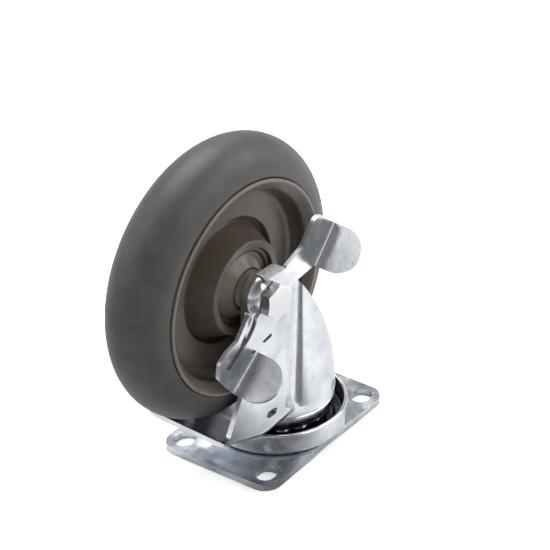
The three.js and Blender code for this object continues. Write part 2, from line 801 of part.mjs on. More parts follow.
// The hub's flange, turned in towards the leg round the hub's front and along its top.
function leverFlange() {
  const inner = leverHubRadius - leverSheet;
  const band = alongAxle(ring([
    [inner, leverInner],
    [leverHubRadius, leverInner],
    ...arc(leverHubRadius - leverHubBend, leverOuter - leverHubBend, leverHubBend, 0, 90, 3),
    [inner, leverOuter],
  ], medium));
  const reach = 2 * leverHubRadius;
  const endAngle = radians(flangeEnd);
  const sector = polygon([
    [0, 0],
    [0, reach],
    [-reach, reach],
    [reach * Math.cos(endAngle), reach * Math.sin(endAngle)],
  ]);
  const shelf = polygon([
    [-past, inner],
    [shelfLength, inner],
    [shelfLength, leverHubRadius],
    [-past, leverHubRadius],
  ]);
  return band.intersect(sidePrism(sector, leverInner - past, leverOuter + past))
    .add(sidePrism(shelf, leverInner, leverOuter));
}

// The free end of the spring finger, dipping from the flat towards the leg.
function springFinger() {
  const root = new THREE.Vector2(fingerRoot.along, fingerRoot.up);
  const tip = new THREE.Vector2(fingerTip.along, fingerTip.up);
  const run = tip.clone().sub(root);
  const length = run.length();
  const along = run.clone().normalize();
  const section = polygon([
    [-2, leverBack],
    [0, leverBack],
    [length, leverBack - fingerDip],
    [length, leverOuter - fingerDip],
    [0, leverOuter],
    [-2, leverOuter],
  ]);
  const strip = new THREE.ExtrudeGeometry(section, { depth: fingerWidth, bevelEnabled: false });
  strip.translate(0, 0, -fingerWidth / 2);
  const alongAxis = new THREE.Vector3(0, along.x, along.y);
  const outAxis = new THREE.Vector3(1, 0, 0);
  const sideAxis = new THREE.Vector3().crossVectors(alongAxis, outAxis);
  strip.applyMatrix4(new THREE.Matrix4().makeBasis(alongAxis, outAxis, sideAxis));
  return solid(strip).translate([0, root.x, root.y]);
}

function brakeLever() {
  const inside = leverInner - past;
  const outside = leverOuter + past;
  return leverFlat()
    .add(leverFlange())
    .subtract(sidePrism(slotAlong(slitLine, slitWidth), leverBack - past, outside))
    .add(springFinger())
    .add(pedalSolid(lowerPedal))
    .add(pedalSolid(upperPedal))
    .subtract(sidePrism(slotAlong(reliefLine, reliefWidth), inside, outside))
    .subtract(alongAxle(cylinder(axleBore, inside, outside, coarse)));
}

// ---------------------------------------------------------------- assembly

const caster = new THREE.Group();
caster.name = 'swivel_brake_caster';
caster.add(piece('mounting_plate', mountingPlate(), zinc));
caster.add(piece('raceway_cup', racewayCup(), zinc));
caster.add(piece('king_pin', kingPin(), dullZinc));
caster.add(piece('thrust_race', bearingRace(), dullZinc));
caster.add(...ballSet('main_ball', ballCount, ballRadius, ballPitchRadius, ballCentreZ));
caster.add(...ballSet('thrust_ball', thrustBallCount, thrustBallRadius, thrustPitchRadius,
  thrustCentreZ));

const swivelling = new THREE.Group();
swivelling.rotation.z = radians(restSwivel);
swivelling.add(piece('fork', fork(), zinc));

const onAxle = new THREE.Group();
onAxle.position.set(0, axleOffset, axleHeight);
onAxle.add(piece('tyre', tyre(), rubber));
onAxle.add(piece('wheel_core', wheelCore(), corePlastic));
onAxle.add(piece('hub_bushing_brake_side', bushing(), nylon));
const farBushing = piece('hub_bushing_nut_side', bushing(), nylon);
farBushing.rotation.z = Math.PI;
onAxle.add(farBushing);
onAxle.add(piece('axle_sleeve', axleSleeve(), steel));
onAxle.add(piece('axle_bolt', axleBolt(), zinc));
onAxle.add(piece('axle_washer', flatWasher(), zinc));
onAxle.add(piece('axle_lock_nut', lockNut(), zinc));
onAxle.add(piece('brake_lever', brakeLever(), zinc));

swivelling.add(onAxle);
caster.add(swivelling);

export default caster;
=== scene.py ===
# %% [markdown]
# # A swivel caster with a side brake
# The caster stands on its mounting plate with the wheel in the air. The CAD model fixes every size,
# every place and every joint. This lesson gives it its looks: pressed and plated sheet steel with soft
# edges, a moulded wheel core, and a satin rubber tread.

# %% Load the fixed frame
import json
import math
import bmesh
import bpy
from mathutils import Matrix, Vector


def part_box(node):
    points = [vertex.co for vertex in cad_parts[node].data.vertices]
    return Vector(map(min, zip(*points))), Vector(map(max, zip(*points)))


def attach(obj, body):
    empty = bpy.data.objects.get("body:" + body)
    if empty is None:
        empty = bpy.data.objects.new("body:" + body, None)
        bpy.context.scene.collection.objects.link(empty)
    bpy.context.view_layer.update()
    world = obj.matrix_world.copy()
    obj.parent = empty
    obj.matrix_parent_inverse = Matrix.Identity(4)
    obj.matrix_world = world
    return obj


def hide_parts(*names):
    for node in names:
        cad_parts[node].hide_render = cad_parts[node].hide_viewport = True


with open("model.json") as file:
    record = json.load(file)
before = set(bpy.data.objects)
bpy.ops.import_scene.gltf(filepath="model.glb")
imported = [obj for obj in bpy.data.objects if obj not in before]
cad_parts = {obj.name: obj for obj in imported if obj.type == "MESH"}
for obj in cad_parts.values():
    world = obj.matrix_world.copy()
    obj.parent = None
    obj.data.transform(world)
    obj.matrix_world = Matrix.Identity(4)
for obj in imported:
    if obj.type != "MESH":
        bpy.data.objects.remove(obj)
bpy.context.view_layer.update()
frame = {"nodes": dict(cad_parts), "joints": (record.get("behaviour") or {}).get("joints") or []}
print("pieces in the frame:", len(frame["nodes"]))

# %% [markdown]
# ## The camera
# A product picture like this is taken from far away with a long lens, so that near and far edges stay
# almost parallel. The camera looks down at the caster from the brake side. Its place is given by an
# azimuth, an elevation and a distance from a point on the swivel axis, as on a turntable. Two small shifts
# then set where the caster sits in the picture.

# %% Set the camera
scene = bpy.context.scene
scene.view_settings.view_transform = "Standard"

CAMERA_AZIMUTH = math.radians(35.48)
CAMERA_ELEVATION = math.radians(31.37)
CAMERA_DISTANCE = 1.1
CAMERA_LENS = 164.2
AIM_HEIGHT = 0.060
AIM_RIGHT = 0.0003
AIM_UP = 0.0155


def camera_axes(azimuth, elevation):
    """The directions to the right, up and back from the subject, for a camera at that angle."""
    right = Vector((math.cos(azimuth), math.sin(azimuth), 0))
    back = Vector((
        math.sin(azimuth) * math.cos(elevation),
        -math.cos(azimuth) * math.cos(elevation),
        math.sin(elevation),
    ))
    return right, back.cross(right), back


view_right, view_up, view_back = camera_axes(CAMERA_AZIMUTH, CAMERA_ELEVATION)
camera_data = bpy.data.cameras.new("camera")
camera_data.lens = CAMERA_LENS
camera = bpy.data.objects.new("camera", camera_data)
camera.matrix_world = Matrix.Translation(
    Vector((0, 0, AIM_HEIGHT)) + view_back * CAMERA_DISTANCE + view_right * AIM_RIGHT + view_up * AIM_UP
) @ Matrix((view_right, view_up, view_back)).transposed().to_4x4()
scene.collection.objects.link(camera)
scene.camera = camera
print("camera at", [round(x, 3) for x in camera.location])

# %% [markdown]
# ## Floor and light
# Bright plating has almost no colour of its own: it shows what is around it. So the studio matters as
# much as the material. The floor and the sky near the horizon are white, and the sky higher up is grey on
# one side and dark on the other, which gives the plating its darker tones. The floor is white to the
# camera, but mirrors see it fade out towards the dark side of the room, with a soft oval shade beside the
# caster. Four soft lamps light it: a large key lamp high up behind on the left, a window lamp low on the
# left, a rim lamp behind on the right, and a weak side lamp on the right.

# %% Helpers for node trees
COLOUR_MIX_INPUTS = (0, 6, 7)
COLOUR_MIX_OUTPUT = 2


def tree_of(owner):
    """An empty node tree on a material or world, ready to be filled."""
    owner.use_nodes = True
    owner.node_tree.nodes.clear()
    return owner.node_tree


def plug(tree, target, value):
    """Feed an input: link it to another node's socket, or set its own value. A colour gets its alpha."""
    if isinstance(value, bpy.types.NodeSocket):
        tree.links.new(value, target)
    elif target.type == "RGBA":
        target.default_value = (*value, 1)
    else:
        target.default_value = value


def add_node(tree, kind, settings=None, **inputs):
    """A node of that kind, with its properties and its inputs given by name."""
    node = tree.nodes.new(kind)
    for name, value in (settings or {}).items():
        setattr(node, name, value)
    for name, value in inputs.items():
        plug(tree, node.inputs[name.replace("_", " ")], value)
    return node


def maths(tree, kind, operation, *inputs):
    """The result of a Math or Vector Math node, with its inputs in their order."""
    node = add_node(tree, kind, {"operation": operation})
    for target, value in zip(node.inputs, inputs):
        plug(tree, target, value)
    return node.outputs["Value"]


def blended(tree, kind, factor, first, second):
    """Two colours mixed. Each is a socket or an RGB tuple, and the factor is a socket or a number."""
    mix = add_node(tree, "ShaderNodeMix", {"data_type": "RGBA", "blend_type": kind})
    for index, value in zip(COLOUR_MIX_INPUTS, (factor, first, second)):
        plug(tree, mix.inputs[index], value)
    return mix.outputs[COLOUR_MIX_OUTPUT]


def ramp(tree, source, stops):
    """A colour ramp over source. Each stop is a place from 0 to 1 with a grey value."""
    node = add_node(tree, "ShaderNodeValToRGB", Fac=source)
    elements = node.color_ramp.elements
    while len(elements) < len(stops):
        elements.new(0.5)
    for element, (place, value) in zip(elements, stops):
        element.position = place
        element.color = (value, value, value, 1)
    return node.outputs["Color"]


def surface(tree, kind, shader):
    """End the tree in an output node of that kind, fed by the shader."""
    output = add_node(tree, kind)
    tree.links.new(shader.outputs[0], output.inputs["Surface"])


# %% Build the floor
FLOOR_SIZE = 8.0
FLOOR_WHITE = (0.92, 0.92, 0.92)
ROOM_WARD = (0, -1, 0)
FADE_FROM = -0.25
FADE_TO = 0.45
FLOOR_FADE = [(0.0, 1.0), (0.20, 0.90), (0.25, 0.62), (0.31, 0.78), (0.385, 0.86), (0.46, 0.86),
              (0.56, 0.42), (0.80, 0.16)]
SHADE_CENTRE = (0.085, -0.100, 0)
SHADE_TURN = math.radians(-72.5)
SHADE_REACH = (0.095, 0.060, 1)
SHADE = [(0.0, 0.18), (0.90, 0.26), (1.02, 0.60), (1.12, 1.0)]
SHADE_SPAN = 2
LIFT_FROM = 0.2
LIFT_TO = 0.8
LIFT_NEAR = 0.42
LIFT_FAR = 1.0


def mirrored_floor(tree, place):
    """What mirrors see: the floor fades out towards the room, and an oval beside the caster is shaded."""
    ahead = maths(tree, "ShaderNodeVectorMath", "DOT_PRODUCT", place, ROOM_WARD)
    span = add_node(tree, "ShaderNodeMapRange", Value=ahead, From_Min=FADE_FROM, From_Max=FADE_TO)
    oval = add_node(tree, "ShaderNodeMapping", {"vector_type": "TEXTURE"}, Vector=place,
                    Location=SHADE_CENTRE, Rotation=(0, 0, SHADE_TURN), Scale=SHADE_REACH)
    reaches = maths(tree, "ShaderNodeVectorMath", "LENGTH", oval.outputs["Vector"])
    part = maths(tree, "ShaderNodeMath", "MULTIPLY", reaches, 1 / SHADE_SPAN)
    shade = ramp(tree, part, [(stop / SHADE_SPAN, value) for stop, value in SHADE])
    return blended(tree, "MULTIPLY", 1, ramp(tree, span.outputs["Result"], FLOOR_FADE), shade)


def floor_finish():
    """White to the lamps, white to the eye however far away it is, and faded to mirrors."""
    material = bpy.data.materials.new("floor_white")
    tree = tree_of(material)
    path = add_node(tree, "ShaderNodeLightPath")
    place = add_node(tree, "ShaderNodeTexCoord").outputs["Object"]
    colour = blended(tree, "MIX", path.outputs["Is Glossy Ray"], FLOOR_WHITE, mirrored_floor(tree, place))
    away = maths(tree, "ShaderNodeVectorMath", "LENGTH", place)
    rise = add_node(tree, "ShaderNodeMapRange", Value=away, From_Min=LIFT_FROM, From_Max=LIFT_TO,
                    To_Min=LIFT_NEAR, To_Max=LIFT_FAR)
    lift = maths(tree, "ShaderNodeMath", "MULTIPLY", path.outputs["Is Camera Ray"], rise.outputs["Result"])
    both = add_node(tree, "ShaderNodeAddShader")
    tree.links.new(add_node(tree, "ShaderNodeBsdfDiffuse", Color=colour).outputs[0], both.inputs[0])
    tree.links.new(add_node(tree, "ShaderNodeEmission", Strength=lift).outputs[0], both.inputs[1])
    surface(tree, "ShaderNodeOutputMaterial", both)
    return material


def make_floor():
    """One flat square under the caster."""
    half = FLOOR_SIZE / 2
    mesh = bpy.data.meshes.new("floor")
    corners = [(-half, -half, 0), (half, -half, 0), (half, half, 0), (-half, half, 0)]
    mesh.from_pydata(corners, [], [range(4)])
    mesh.materials.append(floor_finish())
    floor = bpy.data.objects.new("floor", mesh)
    scene.collection.objects.link(floor)


make_floor()
print("floor", FLOOR_SIZE, "m wide")

# %% Light the studio
LIT_SKY = [(0.0, 1.0), (0.10, 1.0), (0.42, 0.40), (1.0, 0.40)]
ROOM_SKY = [(0.0, 0.90), (0.08, 0.70), (0.30, 0.24), (0.80, 0.10)]
LIT_SIDE = -0.25
ROOM_SIDE = 0.35
SKY_WHITE = (1, 1, 1)


def make_world():
    """White low down. Higher up, grey over the lit side of the set and dark over the room side."""
    world = bpy.data.worlds.new("studio")
    scene.world = world
    tree = tree_of(world)
    place = add_node(tree, "ShaderNodeTexCoord").outputs["Generated"]
    split = add_node(tree, "ShaderNodeSeparateXYZ", Vector=place)
    across = add_node(tree, "ShaderNodeMapRange", Value=split.outputs["X"], From_Min=LIT_SIDE,
                      From_Max=ROOM_SIDE)
    lit, room = [ramp(tree, split.outputs["Z"], stops) for stops in (LIT_SKY, ROOM_SKY)]
    sky = blended(tree, "MIX", across.outputs["Result"], lit, room)
    seen = add_node(tree, "ShaderNodeLightPath").outputs["Is Camera Ray"]
    background = add_node(tree, "ShaderNodeBackground", Color=blended(tree, "MIX", seen, sky, SKY_WHITE))
    surface(tree, "ShaderNodeOutputWorld", background)


def soft_lamp(name, azimuth, elevation, distance, size, power):
    """A large square lamp at that direction from the caster, facing it."""
    data = bpy.data.lights.new(name, "AREA")
    data.size = size
    data.energy = power
    lamp = bpy.data.objects.new(name, data)
    back = camera_axes(math.radians(azimuth), math.radians(elevation))[2]
    lamp.location = Vector((0, 0, AIM_HEIGHT)) + back * distance
    lamp.rotation_euler = back.to_track_quat("Z", "Y").to_euler()
    scene.collection.objects.link(lamp)


make_world()
soft_lamp("key", azimuth=-130, elevation=66, distance=1.6, size=1.2, power=26)
soft_lamp("window", azimuth=-50, elevation=33, distance=2.0, size=1.6, power=11)
soft_lamp("rim", azimuth=142, elevation=32, distance=2.0, size=1.0, power=14)
soft_lamp("side", azimuth=100, elevation=35, distance=1.6, size=0.8, power=6)

# %% [markdown]
# ## Sizes
# The sizes are the caster's own, in millimetres, because that is how its maker would write them. One
# scale turns them into Blender's metres. Everything that swivels is drawn square to its own axle, with X
# along the axle, Y towards the back and Z up, and is then turned to the angle at which the fork rests.

# %% Name the sizes
MM = 0.001
axle_joint = next(joint for joint in frame["joints"] if joint["name"] == "wheel_spin")
REST_TURN = math.atan2(axle_joint["axis"][1], axle_joint["axis"][0])
AXLE = Vector(axle_joint["pos_m"])
AXLE_BACK = -math.hypot(AXLE.x, AXLE.y) / MM
AXLE_UP = AXLE.z / MM

PLATE_LOW, PLATE_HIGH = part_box("mounting_plate")
CUP_LOW, CUP_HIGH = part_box("raceway_cup")
TYRE_LOW, TYRE_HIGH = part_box("tyre")
WHEEL_RADIUS = (TYRE_HIGH.z - TYRE_LOW.z) / 2 / MM
print("wheel radius", round(WHEEL_RADIUS, 2), "mm; axle", round(AXLE_BACK, 2), round(AXLE_UP, 2))

# %% [markdown]
# ## Shapes from sections
# Almost every part of a caster is turned or pressed, so two makers do most of the work. One turns a
# profile about an axis. The other pushes an outline through a thickness. Their results are joined and cut
# as closed solids, which is close to how dies and lathes make the real ones.

# %% Make a mesh from points
ON_AXIS = 1e-6
DOUBLES = 1e-7


def new_piece(name, points, faces):
    """A mesh object from points in millimetres, already linked to the scene."""
    mesh = bpy.data.meshes.new(name)
    mesh.from_pydata([Vector(p) * MM for p in points], [], faces)
    piece = bpy.data.objects.new(name, mesh)
    scene.collection.objects.link(piece)
    return piece


def face_outwards(piece):
    """Merge doubles and turn every face of a closed mesh outwards."""
    shape = bmesh.new()
    shape.from_mesh(piece.data)
    bmesh.ops.remove_doubles(shape, verts=shape.verts, dist=DOUBLES)
    bmesh.ops.recalc_face_normals(shape, faces=shape.faces)
    shape.to_mesh(piece.data)
    shape.free()


# %% Turn a profile and push an outline
ROD_STEPS = 64


def arc(centre_a, centre_b, radius, start, end, steps=8):
    """Points on a round stretch, from one angle to another in degrees."""
    points = []
    for i in range(steps + 1):
        angle = math.radians(start + (end - start) * i / steps)
        points.append((centre_a + radius * math.cos(angle), centre_b + radius * math.sin(angle)))
    return points


def turned(name, profile, segments=192):
    """A profile of (radius, height) turned about Z. A point with no radius closes the end on the axis."""
    points, rows = [], []
    for radius, height in profile:
        if radius < ON_AXIS:
            rows.append([len(points)] * segments)
            points.append((0, 0, height))
            continue
        rows.append(range(len(points), len(points) + segments))
        for i in range(segments):
            angle = 2 * math.pi * i / segments
            points.append((radius * math.cos(angle), radius * math.sin(angle), height))
    faces = []
    closed = profile[0][0] > ON_AXIS
    for k in range(len(rows) if closed else len(rows) - 1):
        low, high = rows[k], rows[(k + 1) % len(rows)]
        for i in range(segments):
            j = (i + 1) % segments
            face = [low[i], low[j], high[j], high[i]]
            faces.append(list(dict.fromkeys(face)))
    piece = new_piece(name, points, faces)
    face_outwards(piece)
    return piece


def rectangle(low_a, low_b, high_a, high_b):
    """Four corners between two opposite ones."""
    return [(low_a, low_b), (high_a, low_b), (high_a, high_b), (low_a, high_b)]


def rod(radius, low, high):
    """A plain round bar about Z, used as a shank or to cut a hole."""
    return turned("rod", rectangle(0, low, radius, high), ROD_STEPS)


def pushed(name, outline, low, high):
    """An outline in the XY plane pushed from one height to another."""
    count = len(outline)
    points = [(a, b, low) for a, b in outline] + [(a, b, high) for a, b in outline]
    faces = [list(range(count))[::-1], list(range(count, 2 * count))]
    for i in range(count):
        j = (i + 1) % count
        faces.append([i, j, count + j, count + i])
    piece = new_piece(name, points, faces)
    face_outwards(piece)
    return piece


# %% Turn and move a piece


def laid(piece, across, along, up):
    """Turn a piece so that its own X, Y and Z lie along these three directions."""
    turn = Matrix((Vector(across), Vector(along), Vector(up))).transposed().to_4x4()
    piece.data.transform(turn)
    return piece


def side_on(piece):
    """From drawn flat to standing in the side view: X becomes Y, Y becomes Z, Z becomes X."""
    return laid(piece, (0, 1, 0), (0, 0, 1), (1, 0, 0))


def moved(piece, x=0, y=0, z=0):
    """Shift a piece by millimetres."""
    piece.data.transform(Matrix.Translation(Vector((x, y, z)) * MM))
    return piece


# %% Join, cut and keep


def bake_modifiers(piece):
    """Turn what the modifiers make into the piece's own plain mesh."""
    bpy.context.view_layer.update()
    graph = bpy.context.evaluated_depsgraph_get()
    made = bpy.data.meshes.new_from_object(piece.evaluated_get(graph))
    piece.modifiers.clear()
    piece.data = made
    return piece


def combine(piece, other, operation):
    """Join, cut or intersect two closed pieces. The second one is used up."""
    step = piece.modifiers.new("combine", "BOOLEAN")
    step.operation = operation
    step.object = other
    step.solver = "MANIFOLD"
    bake_modifiers(piece)
    bpy.data.objects.remove(other)
    return piece


def joined(piece, *others):
    """The piece with the others added to it."""
    for other in others:
        combine(piece, other, "UNION")
    return piece


def cut(piece, *others):
    """The piece with the others taken out of it."""
    for other in others:
        combine(piece, other, "DIFFERENCE")
    return piece


def kept(piece, other):
    """Only what the two have in common."""
    return combine(piece, other, "INTERSECT")


# %% Soften the edges
SHARP = math.radians(40)
NORMAL_WEIGHT = 80
FLAT_AREA = 20
FLAT_SPREAD = 0.012


def flatten_flats(piece):
    """Give each large compact face its own plain normal, so that a flat reflects like a flat."""
    mesh = piece.data
    normals = [corner.vector.copy() for corner in mesh.corner_normals]
    for face in mesh.polygons:
        outline = [mesh.vertices[index].co for index in face.vertices]
        around = sum((a - b).length for a, b in zip(outline, outline[1:] + outline[:1]))
        if face.area > FLAT_AREA * MM * MM and face.area > FLAT_SPREAD * around * around:
            for corner in face.loop_indices:
                normals[corner] = face.normal.copy()
    mesh.normals_split_custom_set(normals)


def soften(piece, radius=0, segments=2):
    """Round the sharp edges by a radius in millimetres, then shade flats flat and rounds round."""
    if radius > 0:
        edge = piece.modifiers.new("edge", "BEVEL")
        edge.width = radius * MM
        edge.segments = segments
        edge.limit_method = "ANGLE"
        edge.angle_limit = SHARP
        edge.harden_normals = True
        edge.use_clamp_overlap = True
    for face in piece.data.polygons:
        face.use_smooth = True
    even = piece.modifiers.new("even", "WEIGHTED_NORMAL")
    even.keep_sharp = True
    even.weight = NORMAL_WEIGHT
    bake_modifiers(piece)
    flatten_flats(piece)
    return piece


# %% Mark a piece's faces and settle it in the frame


def mark_faces(piece, name, test):
    """Store a number on each face: what the test gives for its centre in millimetres and its normal."""
    mark = piece.data.attributes.new(name, "FLOAT", "FACE")
    for face, value in zip(piece.data.polygons, mark.data):
        value.value = test(face.center / MM, face.normal)
    return piece


def hand_over(piece, body, replaced):
    """Hang a piece on the empty of the body that carries it, and hide the CAD nodes that it replaces."""
    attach(piece, body)
    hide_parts(*replaced)
    print(piece.name, len(piece.data.polygons), "faces")


def settle(piece, body, replaced, material, swivels=True, on_axle=False):
    """Put a finished piece in its place in the frame and hand it to the body that carries it."""
    if on_axle:
        moved(piece, y=AXLE_BACK, z=AXLE_UP)
    if swivels:
        piece.data.transform(Matrix.Rotation(REST_TURN, 4, "Z"))
    piece.data.materials.clear()
    piece.data.materials.append(material)
    hand_over(piece, body, replaced)


# %% [markdown]
# ## Outlines
# An outline is a list of corners, and each corner says how round it is. Long sweeping edges, such as the
# scarf cut at the back of the fork, are Bezier curves. Slots are round-ended and follow a smooth line.

# %% Draw outlines
ALMOST_STRAIGHT = math.radians(89)


def rounded(corners, steps=6):
    """A closed outline from corners of (a, b) or (a, b, radius)."""
    outline = []
    count = len(corners)
    for i, corner in enumerate(corners):
        here = Vector(corner[:2])
        radius = corner[2] if len(corner) > 2 else 0
        back = (Vector(corners[i - 1][:2]) - here).normalized()
        ahead = (Vector(corners[(i + 1) % count][:2]) - here).normalized()
        half = back.angle(ahead) / 2
        if radius <= 0 or half > ALMOST_STRAIGHT:
            outline.append(tuple(here))
            continue
        reach = radius / math.tan(half)
        middle = here + (back + ahead).normalized() * radius / math.sin(half)
        start = here + back * reach - middle
        turn = start.angle_signed(here + ahead * reach - middle)
        for k in range(steps + 1):
            point = start.copy()
            point.rotate(Matrix.Rotation(-turn * k / steps, 2))
            outline.append(tuple(middle + point))
    return outline


# %% Draw curves and slots


def bezier(*controls, steps=16):
    """Points on a Bezier curve, without its first point."""
    points = []
    for i in range(1, steps + 1):
        level = [Vector(c) for c in controls]
        while len(level) > 1:
            level = [a.lerp(b, i / steps) for a, b in zip(level, level[1:])]
        points.append(tuple(level[0]))
    return points


def slot_outline(line, width, steps=8):
    """A round-ended slot of that width along a line of points."""
    points = [Vector(p) for p in line]
    left, right = [], []
    for i, at in enumerate(points):
        before = points[max(i - 1, 0)]
        after = points[min(i + 1, len(points) - 1)]
        side = (after - before).normalized().orthogonal() * width / 2
        left.append(at + side)
        right.insert(0, at - side)
    outline = []
    for run, centre in ((left, points[-1]), (right, points[0])):
        outline += run
        for k in range(1, steps):
            spoke = run[-1] - centre
            spoke.rotate(Matrix.Rotation(-math.pi * k / steps, 2))
            outline.append(centre + spoke)
    return [tuple(p) for p in outline]


def swept_line(marks, steps=8):
    """A smooth line that passes through every mark given."""
    points = [Vector(mark) for mark in (marks[0], *marks, marks[-1])]
    line = []
    for before, start, end, after in zip(points, points[1:], points[2:], points[3:]):
        for k in range(steps):
            t = k / steps
            bend = 2 * before - 5 * start + 4 * end - after
            twist = 3 * start - before - 3 * end + after
            line.append(tuple(start + 0.5 * t * ((end - before) + t * bend + t * t * twist)))
    line.append(tuple(marks[-1]))
    return line


# %% [markdown]
# ## Materials
# Seven finishes cover the caster: bright zinc plating, the same zinc gone cloudy on the plate, a plainer
# zinc on the small hardware, bare bearing steel, satin rubber, moulded plastic and nylon. Two recipes make
# them all. Each is procedural and lies in object space, so it sticks to its piece at every joint angle.
# Some faces carry a number that changes the finish: a sheared edge is torn and duller, a face inside the
# fork or the cup gets painted shade, and some faces of the moulding get painted light, which makes them
# paler.
# Grain sizes are given in millimetres.

# %% Helpers for materials


def grain(tree, size, detail, roughness=0.55):
    """Noise in object space whose spots are about that many millimetres across."""
    place = add_node(tree, "ShaderNodeTexCoord").outputs["Object"]
    return add_node(tree, "ShaderNodeTexNoise", Vector=place, Scale=1 / (size * MM), Detail=detail,
                    Roughness=roughness).outputs["Fac"]


def face_mark(tree, name):
    """The number that mark_faces stored under that name. It is 0 on a piece that has none."""
    return add_node(tree, "ShaderNodeAttribute", {"attribute_name": name}).outputs["Fac"]


def bumped(tree, shader, *layers):
    """Bump from several heights. Each layer is (height socket, depth in millimetres)."""
    normal = None
    for height, depth in layers:
        bump = add_node(tree, "ShaderNodeBump", Strength=1.0, Distance=depth * MM, Height=height)
        if normal:
            tree.links.new(normal, bump.inputs["Normal"])
        normal = bump.outputs["Normal"]
    tree.links.new(normal, shader.inputs["Normal"])


# %% Make the finishes
# Painted shade: faces marked for it, inside the fork and the cup, are multiplied by this dark tint.
PAINTED_SHADE_TINT = (0.13, 0.13, 0.14)
# Painted light: faces of the moulding marked for it are mixed towards this paler tint.
PAINTED_LIGHT_TINT = (0.150, 0.131, 0.106)
SHEARED_ROUGHNESS = 0.32
ZINC_CLOUDS = [(0.35, 0.0), (0.65, 1.0)]
ZINC_PITS = [(0.0, 0.35), (0.30, 0.45), (0.36, 1.0)]
TORN_STEEL = [(0.3, 0.32), (0.62, 0.88)]
DUST_CLOUDS = [(0.42, 0.0), (0.72, 1.0)]
CLOUD_SIZE = 14
SHEEN_SIZE = 5
PIT_SIZE = 1.1
TORN_SIZE = 0.9
PEEL_SIZE = 2.6
PEEL_DEPTH = 0.012
CRYSTAL_SIZE = 0.35
CRYSTAL_DEPTH = 0.0035
DUST_SIZE = 9
FLOW_SIZE = 4
GRAIN_DEPTH = 0.008


def zinc_finish(name, colour, dark, smooth, rough, speckle):
    """Plated steel: cloudy brightness and sheen, small dark pits, faint orange peel, fine crystals and
    painted shade.
    """
    material = bpy.data.materials.new(name)
    tree = tree_of(material)
    sheared = face_mark(tree, "sheared")
    clouds = ramp(tree, grain(tree, CLOUD_SIZE, detail=5), ZINC_CLOUDS)
    tint = blended(tree, "MIX", clouds, colour, dark)
    pits = ramp(tree, grain(tree, PIT_SIZE, detail=2), ZINC_PITS)
    spotted = blended(tree, "MULTIPLY", speckle, tint, pits)
    torn = ramp(tree, grain(tree, TORN_SIZE, detail=3), TORN_STEEL)
    coat = blended(tree, "MIX", sheared, spotted, torn)
    # Painted shade: the faces marked for it are darkened by the dark tint.
    shaded = blended(tree, "MULTIPLY", face_mark(tree, "painted_shade"), coat, PAINTED_SHADE_TINT)
    sheen = ramp(tree, grain(tree, SHEEN_SIZE, detail=6), [(0.3, smooth), (0.7, rough)])
    dull = maths(tree, "ShaderNodeMath", "MULTIPLY_ADD", sheared, SHEARED_ROUGHNESS, sheen)
    shader = add_node(tree, "ShaderNodeBsdfPrincipled", Metallic=1.0, Base_Color=shaded, Roughness=dull)
    peel = (grain(tree, PEEL_SIZE, detail=3), PEEL_DEPTH)
    crystals = (grain(tree, CRYSTAL_SIZE, detail=2), CRYSTAL_DEPTH)
    bumped(tree, shader, peel, crystals)
    surface(tree, "ShaderNodeOutputMaterial", shader)
    return material


def moulded_finish(name, colour, dusty, rough, flow_depth, grain_size):
    """Rubber or plastic: one colour with a dusty second one in clouds, painted light on marked faces, and a
    fine moulded grain.
    """
    material = bpy.data.materials.new(name)
    tree = tree_of(material)
    clouds = ramp(tree, grain(tree, DUST_SIZE, detail=8, roughness=0.65), DUST_CLOUDS)
    moulded = blended(tree, "MIX", clouds, colour, dusty)
    # Painted light: the faces marked for it are mixed towards the paler tint.
    coloured = blended(tree, "MIX", face_mark(tree, "painted_light"), moulded, PAINTED_LIGHT_TINT)
    shader = add_node(tree, "ShaderNodeBsdfPrincipled", Base_Color=coloured, Roughness=rough)
    flow = (grain(tree, FLOW_SIZE, detail=3), flow_depth)
    fine = (grain(tree, grain_size, detail=2), GRAIN_DEPTH)
    bumped(tree, shader, flow, fine)
    surface(tree, "ShaderNodeOutputMaterial", shader)
    return material


zinc = zinc_finish(
    "zinc_bright", (0.85, 0.87, 0.90), (0.62, 0.65, 0.70), smooth=0.16, rough=0.28, speckle=0.5)
zinc_worn = zinc_finish(
    "zinc_worn", (0.74, 0.77, 0.81), (0.46, 0.49, 0.54), smooth=0.16, rough=0.32, speckle=0.9)
hardware = zinc_finish(
    "zinc_hardware", (0.86, 0.87, 0.88), (0.76, 0.77, 0.79), smooth=0.18, rough=0.30, speckle=0.35)
bearing_steel = zinc_finish(
    "bearing_steel", (0.34, 0.34, 0.35), (0.26, 0.26, 0.27), smooth=0.10, rough=0.2, speckle=0.2)
rubber = moulded_finish(
    "tread_rubber", (0.058, 0.055, 0.055), (0.080, 0.071, 0.067),
    rough=0.50, flow_depth=0.012, grain_size=0.5)
plastic = moulded_finish(
    "core_plastic", (0.088, 0.068, 0.055), (0.106, 0.085, 0.069),
    rough=0.30, flow_depth=0.008, grain_size=0.6)
nylon = moulded_finish(
    "bushing_nylon", (0.200, 0.182, 0.150), (0.240, 0.220, 0.185),
    rough=0.45, flow_depth=0.015, grain_size=0.6)
print("materials:", [material.name for material in bpy.data.materials])
